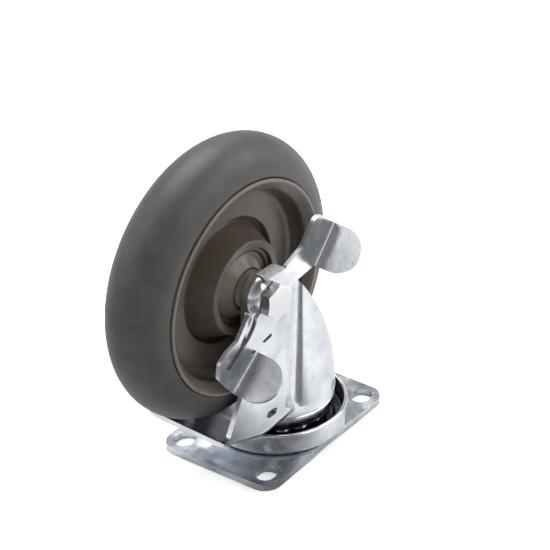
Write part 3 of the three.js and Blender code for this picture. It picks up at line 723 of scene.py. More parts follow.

# %% [markdown]
# ## The wheel
# The tyre is a rounded band of rubber bonded on a moulded core. The core's section tells the most about
# it: a rim lip that stands a little proud, a deep flat web, a rounded step down into a groove, a long cone
# up to a thin hub ring, and inside the ring a recessed floor with a low cone round the bore. Both sides are
# the same, so only one half is written. The rim's lip, the hub ring and the low cone are painted paler, as
# painted light, with a painted highlight along the lip.

# %% Name the wheel's sizes
TREAD_HALF = 15.9
TREAD_HEIGHT = 17.5
RIM_RADIUS = 48.3
RIM_HALF = 16.7
RIM_FLANGE = 2.3
RIM_LIP = 1.3
RIM_BAND = 44.6
RIM_WALL = 2.2
BAND_HALF = RIM_HALF - RIM_FLANGE
RIM_FOOT = (RIM_BAND + RIM_RADIUS) / 2
FOOT_DROP = 0.4
BAND_DROP = 1.4
WEB_HALF = 6.0
WEB_STEP = 28.3
GROOVE_HALF = 2.6
HUB_RING_OUTER = 20.9
HUB_RING_INNER = 17.9
HUB_RING_HALF = 15.4
HUB_FLOOR_HALF = 13.7
GROOVE_FLOOR = 12.8
BOSS_RADIUS = 12.9
BOSS_HALF = 15.0
BOSS_CROWN = 1.3
CORE_BORE = 8.71
SEAT_GAP = 0.3
TYRE_TOUCH = 0.12
TREAD_STEPS = 40
ROUND_STEPS = 256

# %% Turn the tyre


def mirrored(half):
    """A closed section from one side of it, given as (radius, offset) from the middle plane."""
    return list(half) + [(r, -x) for r, x in reversed(half)]


def tyre_section():
    """The round tread, the side down to the rim's lip, and the foot bonded on the rim's band."""
    base = WHEEL_RADIUS - TREAD_HEIGHT
    lip_angle = math.degrees(math.asin((RIM_RADIUS - base) / TREAD_HEIGHT))
    tread = []
    for i in range(1, TREAD_STEPS):
        angle = math.radians(lip_angle + (90 - lip_angle) * i / TREAD_STEPS)
        tread.append((base + TREAD_HEIGHT * math.sin(angle), TREAD_HALF * math.cos(angle)))
    return mirrored([
        (RIM_BAND + SEAT_GAP, BAND_HALF - BAND_DROP - SEAT_GAP),
        (RIM_FOOT, BAND_HALF - FOOT_DROP - SEAT_GAP),
        (RIM_RADIUS + TYRE_TOUCH, BAND_HALF),
        (RIM_RADIUS + TYRE_TOUCH, TREAD_HALF - 0.4),
        *tread,
    ])


tyre = side_on(turned("tyre_rubber", tyre_section(), ROUND_STEPS))
settle(soften(tyre), "wheel", ["tyre"], rubber, on_axle=True)

# %% Turn the core


def core_section():
    """From the bore out: low cone, recessed floor, hub ring, long cone, groove, web, rim and lip."""
    floor_edge = (HUB_RING_INNER + BOSS_RADIUS) / 2
    return mirrored(rounded([
        (CORE_BORE, BOSS_HALF + BOSS_CROWN),
        (CORE_BORE + 0.9, BOSS_HALF + BOSS_CROWN, 0.5),
        (BOSS_RADIUS + 1.5, GROOVE_FLOOR, 1.0),
        (floor_edge, GROOVE_FLOOR),
        (floor_edge + 0.8, HUB_FLOOR_HALF, 0.3),
        (HUB_RING_INNER - 0.4, HUB_FLOOR_HALF, 0.3),
        (HUB_RING_INNER, HUB_RING_HALF, 0.3),
        (HUB_RING_OUTER, HUB_RING_HALF, 0.5),
        (WEB_STEP - 2.4, GROOVE_HALF + 1.2, 4.0),
        (WEB_STEP - 0.3, GROOVE_HALF, 0.4),
        (WEB_STEP, WEB_HALF, 0.7),
        (RIM_BAND - 4.6, WEB_HALF, 3.0),
        (RIM_BAND - RIM_WALL - 0.3, BAND_HALF - 5.0, 3.5),
        (RIM_BAND - RIM_WALL + 0.4, BAND_HALF - 1.0, 2.5),
        (RIM_RADIUS - 2.6, RIM_HALF - 0.9, 2.0),
        (RIM_RADIUS - RIM_LIP, RIM_HALF, 0.4),
        (RIM_RADIUS, RIM_HALF, 0.6),
        (RIM_RADIUS - 0.2, BAND_HALF + 0.4),
        (RIM_FOOT, BAND_HALF - FOOT_DROP),
        (RIM_BAND, BAND_HALF - BAND_DROP),
    ]))


# %% Paint light on the core
BOSS_REACH = BOSS_RADIUS + 2
BOSS_FOOT = GROOVE_FLOOR - 1.3
LIP_INNER = RIM_RADIUS - RIM_LIP - 0.3
LIP_FACE = RIM_HALF - 0.7
LIP_WALL = RIM_RADIUS - 0.6
LIP_FOOT = RIM_HALF - 2.5
RING_FACE = HUB_RING_HALF - 0.2
# The share of painted light that the hub ring gets.
RING_PAINTED_LIGHT = 0.35


def core_painted_light(centre, _normal):
    """How much painted light each face of the moulding gets: full on the low cone and the rim's lip, less on
    the hub ring.
    """
    radius = centre.yz.length
    height = abs(centre.x)
    boss = radius < BOSS_REACH and height > BOSS_FOOT
    lip = radius > LIP_INNER and height > LIP_FACE or radius > LIP_WALL and height > LIP_FOOT
    ring = HUB_RING_INNER < radius < HUB_RING_OUTER and height > RING_FACE
    return 1 if boss or lip else RING_PAINTED_LIGHT * ring


core = side_on(turned("wheel_core_moulding", core_section(), ROUND_STEPS))
# The low cone, the rim's lip and the hub ring get painted light, with a painted highlight on the lip.
core = mark_faces(soften(core), "painted_light", core_painted_light)
settle(core, "wheel", ["wheel_core"], plastic, on_axle=True)

# %% [markdown]
# ## Plate and raceway cup
# The plate is pressed sheet. Its middle is raised in one gentle slope to carry the raceway cup, and that
# slope is what catches the light in front of the ring. The outline and the four slots are cut through the
# pressed disc, as a blanking die does it.

# %% Name the sizes of the plate and the cup
PLATE_HALF_WIDTH = (PLATE_HIGH.x - PLATE_LOW.x) / 2 / MM
PLATE_HALF_LENGTH = (PLATE_HIGH.y - PLATE_LOW.y) / 2 / MM
PLATE_SHEET = 3.2
PLATE_CORNER = 8
PLATE_SIGNS = [(-1, -1), (1, -1), (1, 1), (-1, 1)]
SLOT_AT = (22.25, 36.9)
SLOT_WIDTH = 8.7
SLOT_LENGTH = 11.1
DISH_FLAT = 29.5
DISH_FOOT = 42.0
DISH_TOP = PLATE_HIGH.z / MM
DISH_RISE = DISH_TOP - PLATE_SHEET
UNDER_FOOT = 36.0
UNDER_FLAT = 25.0
BLANK_REACH = 70
PLATE_CUT = (-2, 9)
PIN_HOLE = 5.9
PIN_SINK = (2.8, 2.4)
CUP_WALL = 2.0
CUP_CORNER = 1.9
CUP_INNER = 1.6
RACE_OUTER = 27.6
RACE_INNER = 15.4
RACE_STEP = 1.4
RACE_RISE = 1.2

# %% Press the plate


def s_slope(from_radius, from_height, to_radius, to_height, steps=16):
    """A smooth slope between two levels."""
    points = []
    for i in range(steps + 1):
        part = i / steps
        ease = part * part * (3 - 2 * part)
        radius = from_radius + (to_radius - from_radius) * part
        points.append((radius, from_height + (to_height - from_height) * ease))
    return points


def pressed_plate():
    """A disc with its middle raised, cut to the plate's outline, with four slots through it."""
    plate = turned("mounting_plate_pressing", [
        *s_slope(DISH_FLAT, DISH_TOP, DISH_FOOT, PLATE_SHEET),
        (BLANK_REACH, PLATE_SHEET),
        (BLANK_REACH, 0),
        *s_slope(UNDER_FOOT, 0, UNDER_FLAT, DISH_RISE),
        (PIN_HOLE + PIN_SINK[0], DISH_RISE),
        (PIN_HOLE, DISH_RISE + PIN_SINK[1]),
        (PIN_HOLE, DISH_TOP),
    ])
    corners = [(side * PLATE_HALF_WIDTH, end * PLATE_HALF_LENGTH, PLATE_CORNER) for side, end in PLATE_SIGNS]
    kept(plate, pushed("blank", rounded(corners, steps=16), *PLATE_CUT))
    reach = (SLOT_LENGTH - SLOT_WIDTH) / 2
    for side, end in PLATE_SIGNS:
        x, y = side * SLOT_AT[0], end * SLOT_AT[1]
        slot = slot_outline([(x, y - reach), (x, y + reach)], SLOT_WIDTH, steps=20)
        cut(plate, pushed("slot", slot, *PLATE_CUT))
    return plate


plate = soften(pressed_plate(), radius=0.45, segments=3)
settle(plate, "base", ["mounting_plate"], zinc_worn, swivels=False)

# %% Turn the raceway cup


def raceway_cup():
    """A dished ring with a groove that the main balls run in, and a wall that stands up round them."""
    low, top = CUP_LOW.z / MM, CUP_HIGH.z / MM
    outer = (CUP_HIGH.x - CUP_LOW.x) / 2 / MM
    floor = low + CUP_WALL
    section = rounded([
        (PIN_HOLE, low),
        (outer, low, CUP_CORNER),
        (outer, top, CUP_WALL / 2 - 0.01),
        (outer - CUP_WALL, top, CUP_WALL / 2 - 0.01),
        (outer - CUP_WALL, floor, 1.2),
        (RACE_OUTER, floor, 1.0),
        (RACE_OUTER - RACE_STEP, low + RACE_RISE, 1.0),
        (RACE_INNER + RACE_STEP, low + RACE_RISE, 1.0),
        (RACE_INNER, floor, 1.0),
        (PIN_HOLE, floor),
    ])
    return turned("raceway_cup_pressing", section, ROUND_STEPS)


def cup_shaded_inside(centre, normal):
    """Whether a face of the cup looks inwards or up from inside the wall: such a face gets painted shade."""
    return centre.xy.length < CUP_HIGH.x / MM - CUP_INNER and normal.z > -0.5


# The inside of the cup gets painted shade.
cup = mark_faces(soften(raceway_cup()), "painted_shade", cup_shaded_inside)
settle(cup, "base", ["raceway_cup"], zinc, swivels=False)

# %% [markdown]
# ## The fork
# One sheet of 2.4 mm makes the whole fork: two flat legs, the drum that joins them behind the swivel
# axis, the crown that slopes up to the front lip, and the bearing pan underneath. It is made twice, once
# as the outside and once as the inside, set in by the sheet. The inside is taken from the outside, and
# one side view trims both legs at once. A fillet runs down the crease where leg meets drum, and over it the
# sheet is joggled: it dips in a little and then steps out to the drum, which draws the dark line there.

# %% Name the fork's sizes
SHEET = 2.4
LEG_OUTER = 22
PAN_RADIUS = 27
PAN_BOTTOM = 13.7
PAN_CORNER = 2.6
CROWN_HEIGHT = 19.8
CROWN_KNEE = -36
CROWN_SLOPE = math.radians(18.6)
CROWN_BEND = 4.5
CROWN_FRONT = -60.4
DRUM_RADIUS = 26
DRUM_CENTRE = 2
SHOULDER_TOP = 28
CREASE = 4.5
LEG_END = 9.1
AXLE_HOLE = 5.0
FAR = 40
FORK_TOP = AXLE_UP + FAR

# %% Draw the fork from the side
SCARF_FOOT = (21, 21.5)
SCARF_TURN = (15.6, 26)
SCARF_BEND = (8.8, 57)
SCARF_TOP = (-11.2, 89.5)
SCARF_TANGENT = 58
FRONT_BENDS = [(AXLE_BACK - LEG_END + 1.4, 72), (-46.6, 54), (-49.4, 48)]
LIP_CORNER = [(-56.6, 33.4), (-57.6, 31.2), (CROWN_FRONT, 30.8)]


def crown_outline(lift):
    """The room over the crown: level at the back, bent at the knee and sloping up to the front."""
    rise = math.tan(CROWN_SLOPE)
    front = CROWN_FRONT - FAR
    base = CROWN_HEIGHT + lift
    knee = CROWN_KNEE + lift * math.tan(CROWN_SLOPE / 2)
    back = DRUM_CENTRE + 4 - lift
    return [
        (front, base + (knee - front) * rise),
        *bezier((knee - 3, base + 3 * rise), (knee, base), (knee + 3, base), steps=6),
        (back, base),
        (back, FORK_TOP),
        (front, FORK_TOP),
    ]


def trim_outline():
    """The side view: front lip, leg edges, the round leg end and the drum's long scarf cut."""
    below = PAN_BOTTOM - 5
    behind = PAN_RADIUS + 10
    leg_end = arc(AXLE_BACK, AXLE_UP, LEG_END, SCARF_TANGENT, 180, steps=24)
    return [
        (CROWN_FRONT, below),
        (behind, below),
        (behind, SCARF_FOOT[1]),
        SCARF_FOOT,
        *bezier(SCARF_FOOT, (17, SCARF_FOOT[1]), SCARF_TURN, steps=6),
        *bezier(SCARF_TURN, SCARF_BEND, SCARF_TOP, steps=28),
        *leg_end,
        *bezier(leg_end[-1], *FRONT_BENDS, steps=20),
        LIP_CORNER[0],
        *bezier(*LIP_CORNER, steps=5),
    ]


# %% Shape the crown and the drum
PAN_TAPER = 2.2
DRUM_STEPS = 160
SHARP_BEND = math.radians(60)


def rounded_prism(name, outline, low, high, radius):
    """A pushed outline, side on, with its long edges bent to a radius."""
    prism = pushed(name, outline, low, high)
    bend = prism.modifiers.new("bend", "BEVEL")
    bend.width = radius * MM
    bend.segments = 10
    bend.limit_method = "ANGLE"
    bend.angle_limit = SHARP_BEND
    return side_on(bake_modifiers(prism))


def drum_form(inset):
    """The drum and the bearing pan, as one solid, set in from the outer face."""
    base = PAN_BOTTOM + inset
    corner = max(PAN_CORNER - inset, 0.5)
    pan_edge = PAN_RADIUS - inset
    pan = turned("pan", [
        (0, base),
        *arc(pan_edge - corner, base + corner, corner, -90, 0, steps=8),
        *s_slope(pan_edge, CROWN_HEIGHT, DRUM_RADIUS - inset - PAN_TAPER, SHOULDER_TOP, steps=10),
        (0, SHOULDER_TOP),
    ], DRUM_STEPS)
    drum = turned("drum", rectangle(0, CROWN_HEIGHT + inset, DRUM_RADIUS - inset, FORK_TOP), DRUM_STEPS)
    return joined(pan, moved(drum, y=DRUM_CENTRE))


# %% Shape the crease between leg and drum
DIP_OUTSIDE = [(LEG_OUTER + 0.02, -20.5), (LEG_OUTER, -16), (19.2, -12.6), (23.2, -9.75)]
DIP_INSIDE = [(19.62, -20.5), (19.6, -15.5), (17.2, -11.6), (22.0, -7.6)]
DIP_END = (2, 1.5)
DIP_LEVELS = [(CROWN_HEIGHT + 1, 2.2), (SHOULDER_TOP, 0), (FORK_TOP, 0)]


def crease_filler(side, inset):
    """Metal that rounds the inward corner between a leg and the drum."""
    radius = CREASE + inset
    centre_x = LEG_OUTER + CREASE
    drop = math.sqrt((DRUM_RADIUS + CREASE) ** 2 - centre_x ** 2)
    centre_y = DRUM_CENTRE - drop
    end = math.degrees(math.atan2(drop, -centre_x))
    fillet = arc(centre_x, centre_y, radius, 180, end, steps=10)
    inside = LEG_OUTER - inset - 3
    outline = [(side * x, y) for x, y in [(inside, centre_y), *fillet, (inside, fillet[-1][1])]]
    low = (CROWN_HEIGHT + SHOULDER_TOP) / 2 - 1 + inset
    return pushed("crease", outline, low, FORK_TOP - 1)


def crease_dip(side, inset):
    """What the joggle takes off: a dip, then a step out to the drum. It fades out low down."""
    dip = bezier(*(DIP_INSIDE if inset else DIP_OUTSIDE))
    end = (dip[-1][0] + DIP_END[0], dip[-1][1] + DIP_END[1])
    outline = [*dip, end, (FAR, end[1]), (FAR, dip[0][1])]
    points = [(side * (x + out), y, z) for z, out in DIP_LEVELS for x, y in outline]
    count = len(outline)
    faces = [list(range(count)), list(range(2 * count, 3 * count))]
    for low in (0, count):
        for i in range(count):
            after = (i + 1) % count
            faces.append([low + i, low + after, low + count + after, low + count + i])
    joggle = new_piece("joggle", points, faces)
    face_outwards(joggle)
    return joggle


# %% Press the fork
DRAIN_LINE = [(-30.8, 30.5), (-27.2, 30.5)]
DRAIN_WIDTH = 3.5
PIN_ROOM = 1.2


def fork_form(inset):
    """The fork as a full solid, with its skin set in by that much."""
    half = LEG_OUTER - inset
    form = rounded_prism("form", crown_outline(inset), -half, half, CROWN_BEND - inset)
    joined(form, drum_form(inset))
    for side in (-1, 1):
        joined(form, crease_filler(side, inset))
        cut(form, crease_dip(side, inset))
    return form


def pressed_fork():
    """The outer form trimmed from the side, less the inner form and the holes."""
    fork = fork_form(0)
    kept(fork, side_on(pushed("trim", trim_outline(), -FAR, FAR)))
    cut(fork, fork_form(SHEET))
    cut(fork, side_on(pushed("drain", slot_outline(DRAIN_LINE, DRAIN_WIDTH, steps=12), -FAR, FAR)))
    cut(fork, moved(side_on(rod(AXLE_HOLE, -FAR, FAR)), y=AXLE_BACK, z=AXLE_UP))
    cut(fork, rod(PIN_HOLE + PIN_ROOM, PAN_BOTTOM - 2, CROWN_HEIGHT + 0.2))
    fork.name = "fork_pressing"
    return fork


# %% Mark the fork's edges, and its inside for painted shade
EDGE_WEAR = 0.4
EDGE_FROM = 24
EDGE_BEFORE = 12
LEG_INNER = LEG_OUTER - SHEET
INSIDE_FROM = CROWN_HEIGHT - SHEET - 1
DRUM_FROM = -10


def fork_edge(centre, normal):
    """How torn a face is: the blanked edges of the legs and of the front lip are, a little."""
    on_leg = abs(centre.x) > LEG_INNER - 1 and centre.z > EDGE_FROM
    leg_edge = abs(normal.x) < 0.08 and normal.z > 0.15 and centre.y < EDGE_BEFORE
    front = normal.y < -0.9
    return EDGE_WEAR * (on_leg and (leg_edge or front))


def fork_shaded_inside(centre, normal):
    """Whether a face of the fork looks inwards, at the wheel: such a face gets painted shade."""
    outwards = centre.x * normal.x + (centre.y - DRUM_CENTRE) * normal.y
    between = abs(centre.x) < LEG_INNER + 0.3 and centre.z > INSIDE_FROM
    inwards = normal.y > -0.5 and normal.z > -0.5
    return between and inwards and (centre.y < DRUM_FROM or outwards < 0)


fork = soften(pressed_fork(), radius=0.4, segments=3)
mark_faces(fork, "sheared", fork_edge)
# The fork's inside, facing the wheel, gets painted shade.
mark_faces(fork, "painted_shade", fork_shaded_inside)
settle(fork, "fork_assembly", ["fork"], zinc)

# %% [markdown]
# ## The brake lever
# The lever is one pressing too. Its flat turns in towards the leg round the hub, in a wide round bend at
# the front and a straight shelf along the top. It turns out a little short of a right angle into two
# round-ended pedals. A curved slit frees a narrow spring finger that bears on the hub's flange, and a short
# relief slot stops the lower bend from tearing.

# %% Name the lever's sizes
LEVER_SHEET = 1.9
LEVER_INNER = 22.3
LEVER_OUTER = 29.3
LEVER_BACK = LEVER_OUTER - LEVER_SHEET
LEVER_HUB = 10.3
BEND = 1.6
PEDAL_WIDTH = 20.2
PEDAL_REACH = 16.9
PEDAL_LEAN = 9
LOWER_PEDAL = ((-17.1, -28.1), math.radians(38.8))
UPPER_PEDAL = ((36.1, 9.5), math.radians(49.9))
FINGER_WIDTH = 2.8
FINGER_DIP = 2.2
HUB_BEND = 6
SHELF_START = -2.2
SHELF_LENGTH = 9.6
FLANGE_START = 106
FLANGE_END = 207
SLIT_LINE = [(-9.9, -0.4), (-11.2, -6.4), (-15.6, -11.9), (-20.2, -14.7), (-28.0, -19.8)]
SLIT_WIDTH = 2.4
RELIEF_LINE = [(-12.2, -20.4), (-5.2, -18.7), (-1.0, -17.7)]
RELIEF_WIDTH = 2
FINGER_ROOT = Vector((-21.3, -11.3))
FINGER_TIP = Vector((-11.1, -4.3))
FINGER_OVERLAP = 2
TONGUE = 5
HUB_STEPS = 160
OUTWARDS = Vector((1, 0, 0))

# %% Bend the pedals


def pedal_directions(pedal):
    """The middle of the bend line, the direction along it and the direction away from the arm."""
    middle, angle = pedal
    across = Vector((math.cos(angle), math.sin(angle)))
    return Vector(middle), across, Vector((across.y, -across.x))


def bend_end(pedal, side):
    """Where the flat arm stops and the pedal's bend begins: one end of the bend line."""
    middle, across, away = pedal_directions(pedal)
    return tuple(middle + across * side * PEDAL_WIDTH / 2 - away * BEND)


def pedal_strip():
    """The sheet turned out a little short of a right angle, as wide as a pedal."""
    centre = LEVER_BACK + BEND + LEVER_SHEET
    lean = math.radians(PEDAL_LEAN)
    outer = arc(-BEND, centre, BEND + LEVER_SHEET, -90, -PEDAL_LEAN, steps=10)
    inner = arc(-BEND, centre, BEND, -PEDAL_LEAN, -90, steps=10)
    reach = Vector((math.sin(lean), math.cos(lean))) * (LEVER_OUTER + PEDAL_REACH - centre)
    return pushed("strip", [
        (-BEND - TONGUE, LEVER_BACK),
        *outer,
        tuple(Vector(outer[-1]) + reach),
        tuple(Vector(inner[0]) + reach),
        *inner,
        (-BEND - TONGUE, LEVER_OUTER),
    ], -PEDAL_WIDTH / 2, PEDAL_WIDTH / 2)


def pedal_end():
    """A block with the pedal's half-round end, leaning with the pedal."""
    half = PEDAL_WIDTH / 2
    base = LEVER_BACK - 3
    centre = LEVER_BACK + BEND + LEVER_SHEET
    round_end = arc(0, LEVER_OUTER + PEDAL_REACH - half, half, 0, 180, steps=40)
    outline = [(-half, base), (half, base), *round_end]
    block = pushed("end", outline, -BEND - TONGUE - 1, LEVER_SHEET + 3)
    pivot = Matrix.Translation(Vector((0, centre, -BEND)) * MM)
    block.data.transform(pivot @ Matrix.Rotation(math.radians(PEDAL_LEAN), 4, "X") @ pivot.inverted())
    return block


def pedal_piece(pedal):
    """A pedal with a round end, at its place on the lever."""
    middle, across, away = pedal_directions(pedal)
    across = Vector((0, *across))
    away = Vector((0, *away))
    strip = laid(pedal_strip(), away, OUTWARDS, -across)
    end = laid(pedal_end(), across, OUTWARDS, away)
    return moved(kept(strip, end), y=middle.x, z=middle.y)


# %% Draw the lever's flat


def lever_flat():
    """The lever's outline in the side view, from the hub round the upper arm and the lower one."""
    outline = rounded([
        (-LEVER_HUB, 0),
        (-LEVER_HUB, LEVER_HUB, 0.93 * LEVER_HUB),
        (SHELF_LENGTH, LEVER_HUB),
        (9.8, 11.0, 0.5),
        (20.2, 15.1, 8),
        (30.6, 27.4, 5),
        bend_end(UPPER_PEDAL, 1),
        bend_end(UPPER_PEDAL, -1),
        (12.6, 0.2, 1.5),
        (11.8, -8.8, 4),
        (3.4, -13.2, 3),
        (1.2, -18.6, 1),
        bend_end(LOWER_PEDAL, 1),
        bend_end(LOWER_PEDAL, -1),
        (-34.6, -22.4, 3.5),
        (-33.8, -15.4, 4),
        (-28.6, -12.1, 4),
        (-22.2, -10.2),
        (-20.4, -13.3),
        (-15.8, -11.6),
        (-11.2, -6.2),
    ], steps=8)
    return side_on(pushed("flat", outline, LEVER_BACK, LEVER_OUTER))


# %% Bend the hub's flange


def hub_sector(inner, outer):
    """A block that covers the part of the hub where the flange turns in."""
    sector = [(0, 0), *arc(0, 0, 4 * LEVER_HUB, FLANGE_END, FLANGE_START, steps=2)]
    return side_on(pushed("sector", sector, inner, outer))


def lever_flange():
    """The wide round bend at the front of the hub."""
    foot = LEVER_HUB - HUB_BEND
    rise = LEVER_OUTER - HUB_BEND
    band = side_on(turned("band", [
        (LEVER_HUB - LEVER_SHEET, LEVER_INNER),
        (LEVER_HUB, LEVER_INNER),
        *arc(foot, rise, HUB_BEND, 0, 90, steps=16),
        *arc(foot, rise, HUB_BEND - LEVER_SHEET, 90, 0, steps=12),
    ], HUB_STEPS))
    return kept(band, hub_sector(LEVER_INNER - 1, LEVER_OUTER + 1))


def hub_clearing():
    """What the round bend takes away from the lever's flat."""
    low, high = LEVER_BACK - 1, LEVER_OUTER + 1
    section = rectangle(LEVER_HUB - HUB_BEND, low, LEVER_HUB + 0.3, high)
    ring = side_on(turned("ring", section, HUB_STEPS))
    return kept(ring, hub_sector(low - 1, high + 1))


def lever_shelf():
    """The straight shelf along the top of the hub."""
    inner = LEVER_HUB - LEVER_SHEET
    shelf = rectangle(SHELF_START, inner, SHELF_LENGTH, LEVER_HUB)
    return side_on(pushed("shelf", shelf, LEVER_INNER, LEVER_OUTER))


# %% Press the brake lever


def spring_finger():
    """The free end of the finger, which dips from the flat towards the leg."""
    run = FINGER_TIP - FINGER_ROOT
    strip = pushed("finger", [
        (-FINGER_OVERLAP, LEVER_BACK),
        (0, LEVER_BACK),
        (run.length, LEVER_BACK - FINGER_DIP),
        (run.length, LEVER_OUTER - FINGER_DIP),
        (0, LEVER_OUTER),
        (-FINGER_OVERLAP, LEVER_OUTER),
    ], -FINGER_WIDTH / 2, FINGER_WIDTH / 2)
    along = Vector((0, *run.normalized()))
    laid(strip, along, OUTWARDS, along.cross(OUTWARDS))
    return moved(strip, y=FINGER_ROOT.x, z=FINGER_ROOT.y)


def slit(line, width, inner, steps):
    """A block that cuts a round-ended slit along a smooth line, out from that height."""
    outline = slot_outline(swept_line(line), width, steps)
    return side_on(pushed("slit", outline, inner - 1, LEVER_OUTER + 1))


def pressed_lever():
    """The flat with its hub bent in, its finger slit free and its pedals bent out."""
    lever = joined(cut(lever_flat(), hub_clearing()), lever_flange(), lever_shelf())
    cut(lever, slit(SLIT_LINE, SLIT_WIDTH, LEVER_BACK, steps=12))
    joined(lever, spring_finger(), pedal_piece(LOWER_PEDAL), pedal_piece(UPPER_PEDAL))
    cut(lever, slit(RELIEF_LINE, RELIEF_WIDTH, LEVER_INNER, steps=8))
    cut(lever, side_on(rod(AXLE_HOLE, LEVER_INNER - 1, LEVER_OUTER + 1)))
    lever.name = "brake_lever_pressing"
    return lever


# %% Mark the lever's sheared edges
NEAR = 0.2
SLIT_MARKS = swept_line(SLIT_LINE) + swept_line(RELIEF_LINE)


def lever_edge(centre, normal):
    """How torn a face is: most of all on the shelf's edge. The round bend and the slits' walls are not."""
    from_bolt = math.hypot(centre.y, centre.z)
    along_sheet = abs(normal.x) < 0.12 and from_bolt > 8
    on_bend = from_bolt < LEVER_HUB + NEAR and centre.x < LEVER_BACK and centre.z <= LEVER_HUB - NEAR
    in_slit = any(math.dist(mark, centre.yz) < SLIT_WIDTH / 2 + NEAR for mark in SLIT_MARKS)
    on_shelf = SHELF_START < centre.y < SHELF_LENGTH and abs(centre.z - LEVER_HUB) < 0.5
    torn = along_sheet and not on_bend and not in_slit
    return torn * (1 if on_shelf else EDGE_WEAR)


lever = mark_faces(soften(pressed_lever(), radius=0.3, segments=3), "sheared", lever_edge)
settle(lever, "brake", ["brake_lever"], zinc, on_axle=True)

# %% [markdown]
# ## Bolt, nut and the pieces on the axle
# The bolt head and the nut are hexagons with their corners turned off. The bolt's end carries a real
# helical thread, which is only worth its faces where it shows past the nut. A sleeve keeps the fork's legs
# apart, and the wheel turns on it in two flanged bushings. These pieces are drawn along the axle, outwards
# from the middle of the wheel. What sits on the nut's side is turned round at the end.

# %% Name the sizes of the hardware
ACROSS_FLATS = 14.3
FLATS_SHAVED = 0.35
CORNER_DROP = 1.4
HEAD_BASE = 29.6
HEAD_HEIGHT = 4.4
HEAD_TURN = math.radians(24)
BOLT_RADIUS = 4.76
BOLT_END = 33.3
THREAD_PITCH = 1.5875
THREAD_DEPTH = 0.75
THREAD_LEAD = 0.9
THREAD_TIP = 0.25
THREAD_ROWS = 60
THREAD_START = 2
WASHER_INNER = 22.3
WASHER_THICKNESS = 1.6
WASHER_RADIUS = 9
NUT_INNER = 24.2
NUT_HEIGHT = 7.6
COLLAR_HEIGHT = 1.6
COLLAR_RADIUS = 6.3
SLEEVE_OUTER = 6.46
BUSHING_BORE = 6.71
BUSHING_OUTER = 8.41
BUSHING_FLANGE = 8.6
BUSHING_END = 1.3
HUB_HALF = 19.1
RING_STEPS = 96

# %% Cut a hexagon and a thread


def hexagon(low, high, both_ends, turn=0):
    """A hexagonal prism with its corners turned off at the top, or at both ends."""
    corner = ACROSS_FLATS / math.sqrt(3)
    angles = [turn + i * math.pi / 3 for i in range(6)]
    outline = [(corner * math.cos(angle), corner * math.sin(angle)) for angle in angles]
    flat = ACROSS_FLATS / 2 - FLATS_SHAVED
    wide = corner + 1
    lower = [(flat, low), (wide, low + CORNER_DROP)] if both_ends else [(wide, low)]
    turning = [(0, low), *lower, (wide, high - CORNER_DROP), (flat, high), (0, high)]
    return kept(pushed("hexagon", outline, low, high), turned("turning", turning, RING_STEPS))


def thread_depth(height, around, end):
    """How deep the thread is there. Near the end of the bolt it fades into a chamfer."""
    phase = (height / THREAD_PITCH - around) % 1
    groove = 1 - abs(2 * phase - 1)
    fade = max(0, 1 - (end - height) / THREAD_LEAD - THREAD_TIP)
    return THREAD_DEPTH * (groove + (1 - groove) * fade)


def threaded_end(low, high):
    """A solid with a helical thread, made as one height field round the axis."""
    count = ROD_STEPS
    points = []
    for row in range(THREAD_ROWS + 1):
        height = low + (high - low) * row / THREAD_ROWS
        for i in range(count):
            radius = BOLT_RADIUS - thread_depth(height, i / count, high)
            angle = 2 * math.pi * i / count
            points.append((radius * math.cos(angle), radius * math.sin(angle), height))
    faces = [list(range(count))[::-1], list(range(THREAD_ROWS * count, len(points)))]
    for low_row in range(0, THREAD_ROWS * count, count):
        for i in range(count):
            j = (i + 1) % count
            faces.append([low_row + i, low_row + j, low_row + count + j, low_row + count + i])
    return new_piece("threaded", points, faces)


# %% Make the bolt, the nut and the rings


def far_side(piece):
    """Turn a piece made for the brake side round to the nut side."""
    return laid(piece, (-1, 0, 0), (0, -1, 0), (0, 0, 1))


def axle_bolt():
    """Head on the brake side, shank through the wheel, thread out past the nut."""
    shank = rod(BOLT_RADIUS, -NUT_INNER - 1, HEAD_BASE + 0.5)
    thread = threaded_end(NUT_INNER - THREAD_START, BOLT_END)
    laid(thread, (1, 0, 0), (0, -1, 0), (0, 0, -1))
    head = hexagon(HEAD_BASE, HEAD_BASE + HEAD_HEIGHT, both_ends=False, turn=HEAD_TURN)
    whole = joined(shank, thread, head)
    whole.name = "axle_bolt_threaded"
    return side_on(whole)


def lock_nut():
    """A hexagon with a round collar on top."""
    top = NUT_INNER + NUT_HEIGHT
    nut = hexagon(NUT_INNER, top - COLLAR_HEIGHT, both_ends=True)
    collar = rounded([
        (AXLE_HOLE, NUT_INNER + 1),
        (COLLAR_RADIUS, NUT_INNER + 1),
        (COLLAR_RADIUS, top, 0.8),
        (AXLE_HOLE, top),
    ])
    joined(nut, turned("collar", collar, RING_STEPS))
    cut(nut, rod(AXLE_HOLE, NUT_INNER - 1, FAR))
    nut.name = "axle_lock_nut_hex"
    return far_side(side_on(nut))


def axle_ring(name, section):
    """A closed section turned about the axle."""
    return side_on(turned(name, rounded(section, steps=4), RING_STEPS))


def washer():
    """The plain washer under the nut."""
    high = WASHER_INNER + WASHER_THICKNESS
    return far_side(axle_ring("axle_washer_flat", [
        (AXLE_HOLE, WASHER_INNER, 0.15),
        (WASHER_RADIUS, WASHER_INNER, 0.25),
        (WASHER_RADIUS, high, 0.35),
        (AXLE_HOLE, high, 0.2),
    ]))


def sleeve():
    """The tube that the bolt clamps between the fork's legs."""
    half = LEG_OUTER - SHEET - SEAT_GAP
    return axle_ring("axle_sleeve_tube", [
        (AXLE_HOLE, -half, 0.2),
        (SLEEVE_OUTER, -half, 0.3),
        (SLEEVE_OUTER, half, 0.3),
        (AXLE_HOLE, half, 0.2),
    ])


